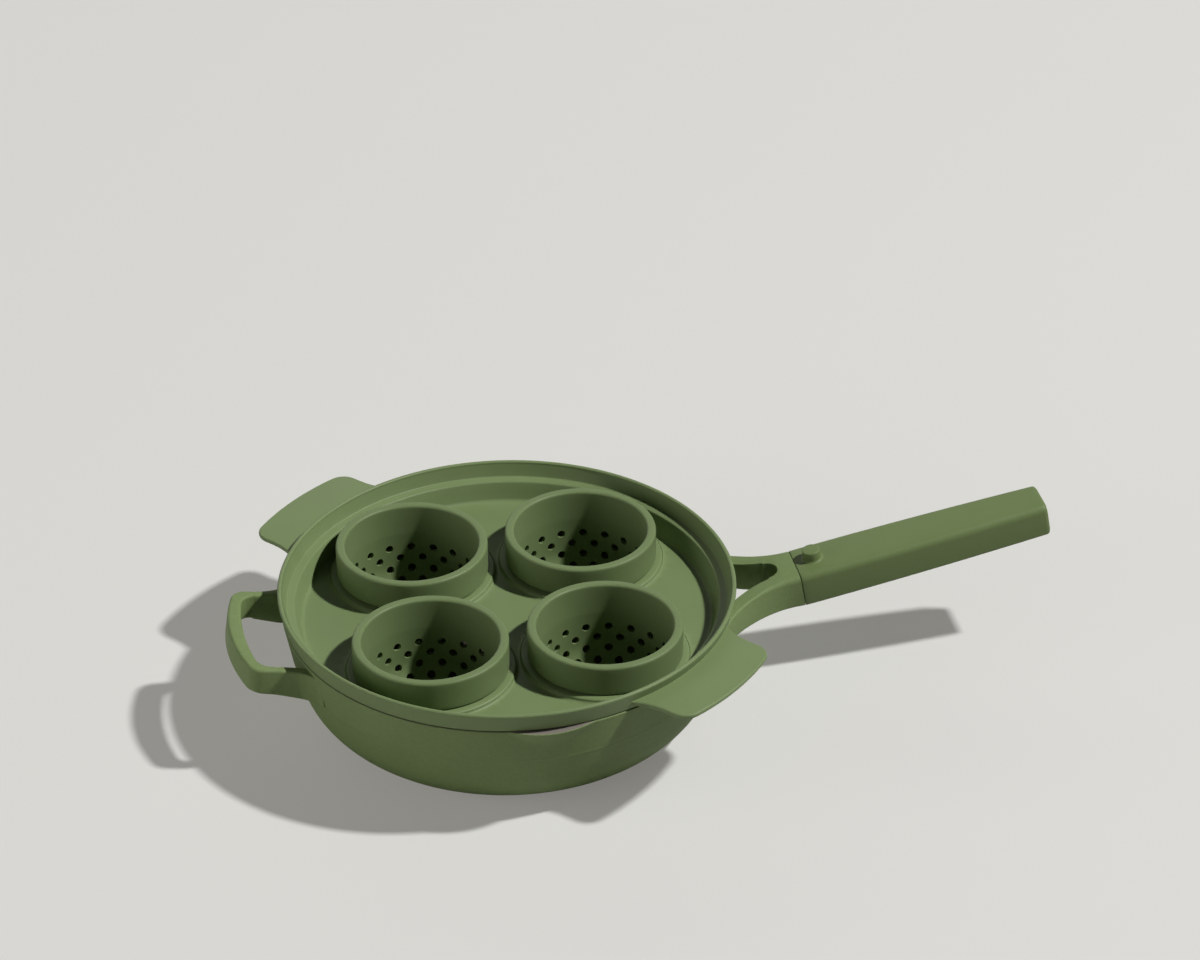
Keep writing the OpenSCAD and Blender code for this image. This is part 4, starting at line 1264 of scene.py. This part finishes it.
def table_finish(name, colour):
    """Plain pale table, darker to the object than to the camera.

    The camera sees part of its colour as light of its own, a little warm, so that shadows stay soft.
    """
    to_object = 0.72
    own = 0.30
    warmth = (1.02, 0.99, 0.95)
    dimmed = [v * to_object for v in colour]
    glowing = [v * own * w for v, w in zip(colour, warmth)]
    material, tree, shader = new_material(name, dimmed, roughness=0.8, specular=0.2)
    seen = node(tree, "ShaderNodeBsdfDiffuse", Color=(*(v * (1 - own) for v in colour), 1))
    glow = node(tree, "ShaderNodeEmission", Color=(*glowing, 1), Strength=1.0)
    both = tree.nodes.new("ShaderNodeAddShader")
    tree.links.new(seen.outputs["BSDF"], both.inputs[0])
    tree.links.new(glow.outputs["Emission"], both.inputs[1])
    choose = tree.nodes.new("ShaderNodeMixShader")
    camera_ray = tree.nodes.new("ShaderNodeLightPath").outputs["Is Camera Ray"]
    tree.links.new(camera_ray, choose.inputs["Fac"])
    tree.links.new(shader.outputs["BSDF"], choose.inputs[1])
    tree.links.new(both.outputs["Shader"], choose.inputs[2])
    tree.links.new(choose.outputs["Shader"], tree.nodes["Material Output"].inputs["Surface"])
    return material


def table_top(colour, half):
    """Square table with its top at height 0."""
    corners = [(-half, -half, 0), (half, -half, 0), (half, half, 0), (-half, half, 0)]
    mesh = bpy.data.meshes.new("table")
    mesh.from_pydata(corners, [], [(0, 1, 2, 3)])
    mesh.materials.append(table_finish("table_top", colour))
    return bpy.data.objects.new("table", mesh)


def key_lamp(place, energy, soft, colour):
    """Small round lamp whose light doesn't weaken with distance."""
    data = bpy.data.lights.new("key", "POINT")
    data.energy = energy
    data.shadow_soft_size = soft
    data.color = colour
    data.use_nodes = True
    even = node(data.node_tree, "ShaderNodeLightFalloff", Strength=1.0)
    data.node_tree.links.new(even.outputs["Constant"], data.node_tree.nodes["Emission"].inputs["Strength"])
    lamp = bpy.data.objects.new("key", data)
    lamp.location = place
    return lamp


def soft_panel(name, place, size, energy, colour):
    """Broad soft lamp that faces the origin and that the camera doesn't see."""
    data = bpy.data.lights.new(name, "AREA")
    data.shape = "RECTANGLE"
    data.size, data.size_y = size
    data.energy = energy
    data.color = colour
    lamp = bpy.data.objects.new(name, data)
    lamp.location = place
    lamp.rotation_euler = (-Vector(place)).to_track_quat("-Z", "Y").to_euler()
    lamp.visible_camera = False
    return lamp


def sky(colour, strength):
    """World of one faint colour."""
    world = bpy.data.worlds.new("sky")
    world.use_nodes = True
    background = world.node_tree.nodes["Background"]
    background.inputs["Color"].default_value = (*colour, 1)
    background.inputs["Strength"].default_value = strength
    return world


def photo_camera(place, angles, lens):
    """The camera, as solved from the ellipses of the tray's rim and of the cups. Angles are in degrees."""
    data = bpy.data.cameras.new("camera")
    data.lens = lens
    data.sensor_width = 36
    data.clip_end = 50
    camera = bpy.data.objects.new("camera", data)
    camera.location = place
    camera.rotation_euler = Euler((math.radians(angle) for angle in angles), "XYZ")
    return camera


class POACHER_OT_stage(bpy.types.Operator):
    """Sets the pale table, the lamps, the sky and the camera"""

    bl_idname = "poacher.stage"
    bl_label = "Stage"

    def execute(self, context):
        scene = context.scene
        f = scene.poacher_finish
        table = table_top(f.table, half=6.0)
        key = key_lamp(place=(1.783, -0.478, 2.365), energy=46.0, soft=0.085, colour=(1, 0.995, 0.985))
        left = soft_panel(
            "left_panel", place=(-2.6, -0.6, 0.8), size=(2.4, 1.6), energy=27.0, colour=(1, 0.97, 0.94),
        )
        back = soft_panel(
            "back_panel", place=(-0.3, 3.0, 1.1), size=(4.5, 2.0), energy=22.6, colour=(1, 1, 1),
        )
        camera = photo_camera(
            place=(-0.363421, -1.960846, 1.427203), angles=(57.38754, 0.31206, -12.28485), lens=122.656,
        )
        for thing in (table, key, left, back, camera):
            scene.collection.objects.link(thing)
        scene.world = sky(colour=(1, 0.99, 0.97), strength=0.03)
        scene.camera = camera
        scene.view_settings.view_transform = "Standard"
        return {"FINISHED"}


class POACHER_PT_panel(bpy.types.Panel):
    """Lists the steps in the 3D view's sidebar"""

    bl_idname = "POACHER_PT_panel"
    bl_label = "Egg poacher pan"
    bl_space_type = "VIEW_3D"
    bl_region_type = "UI"
    bl_category = "Poacher"

    def draw(self, context):
        for step in STEPS:
            self.layout.operator(step.bl_idname)
        for name in GROUPS:
            box = self.layout.box()
            group = getattr(context.scene, name)
            for prop in group.bl_rna.properties:
                if prop.identifier not in ("rna_type", "name"):
                    box.prop(group, prop.identifier)


STEPS = (
    POACHER_OT_stage, POACHER_OT_pan, POACHER_OT_grip, POACHER_OT_steel, POACHER_OT_tray, POACHER_OT_cups,
)
GROUPS = {
    "poacher_pan": PanSizes,
    "poacher_handle": HandleSizes,
    "poacher_tray": TraySizes,
    "poacher_cup": CupSizes,
    "poacher_finish": Finishes,
}


def register():
    """Registers the classes and hangs the property groups on the scene."""
    for made in (*GROUPS.values(), *STEPS, POACHER_PT_panel):
        bpy.utils.register_class(made)
    for name, made in GROUPS.items():
        setattr(bpy.types.Scene, name, bpy.props.PointerProperty(type=made))


def unregister():
    """Undoes register."""
    for name in GROUPS:
        delattr(bpy.types.Scene, name)
    for made in reversed((*GROUPS.values(), *STEPS, POACHER_PT_panel)):
        bpy.utils.unregister_class(made)


def main():
    register()
    for step in STEPS:
        group, name = step.bl_idname.split(".")
        getattr(getattr(bpy.ops, group), name)()


if __name__ == "__main__":
    main()
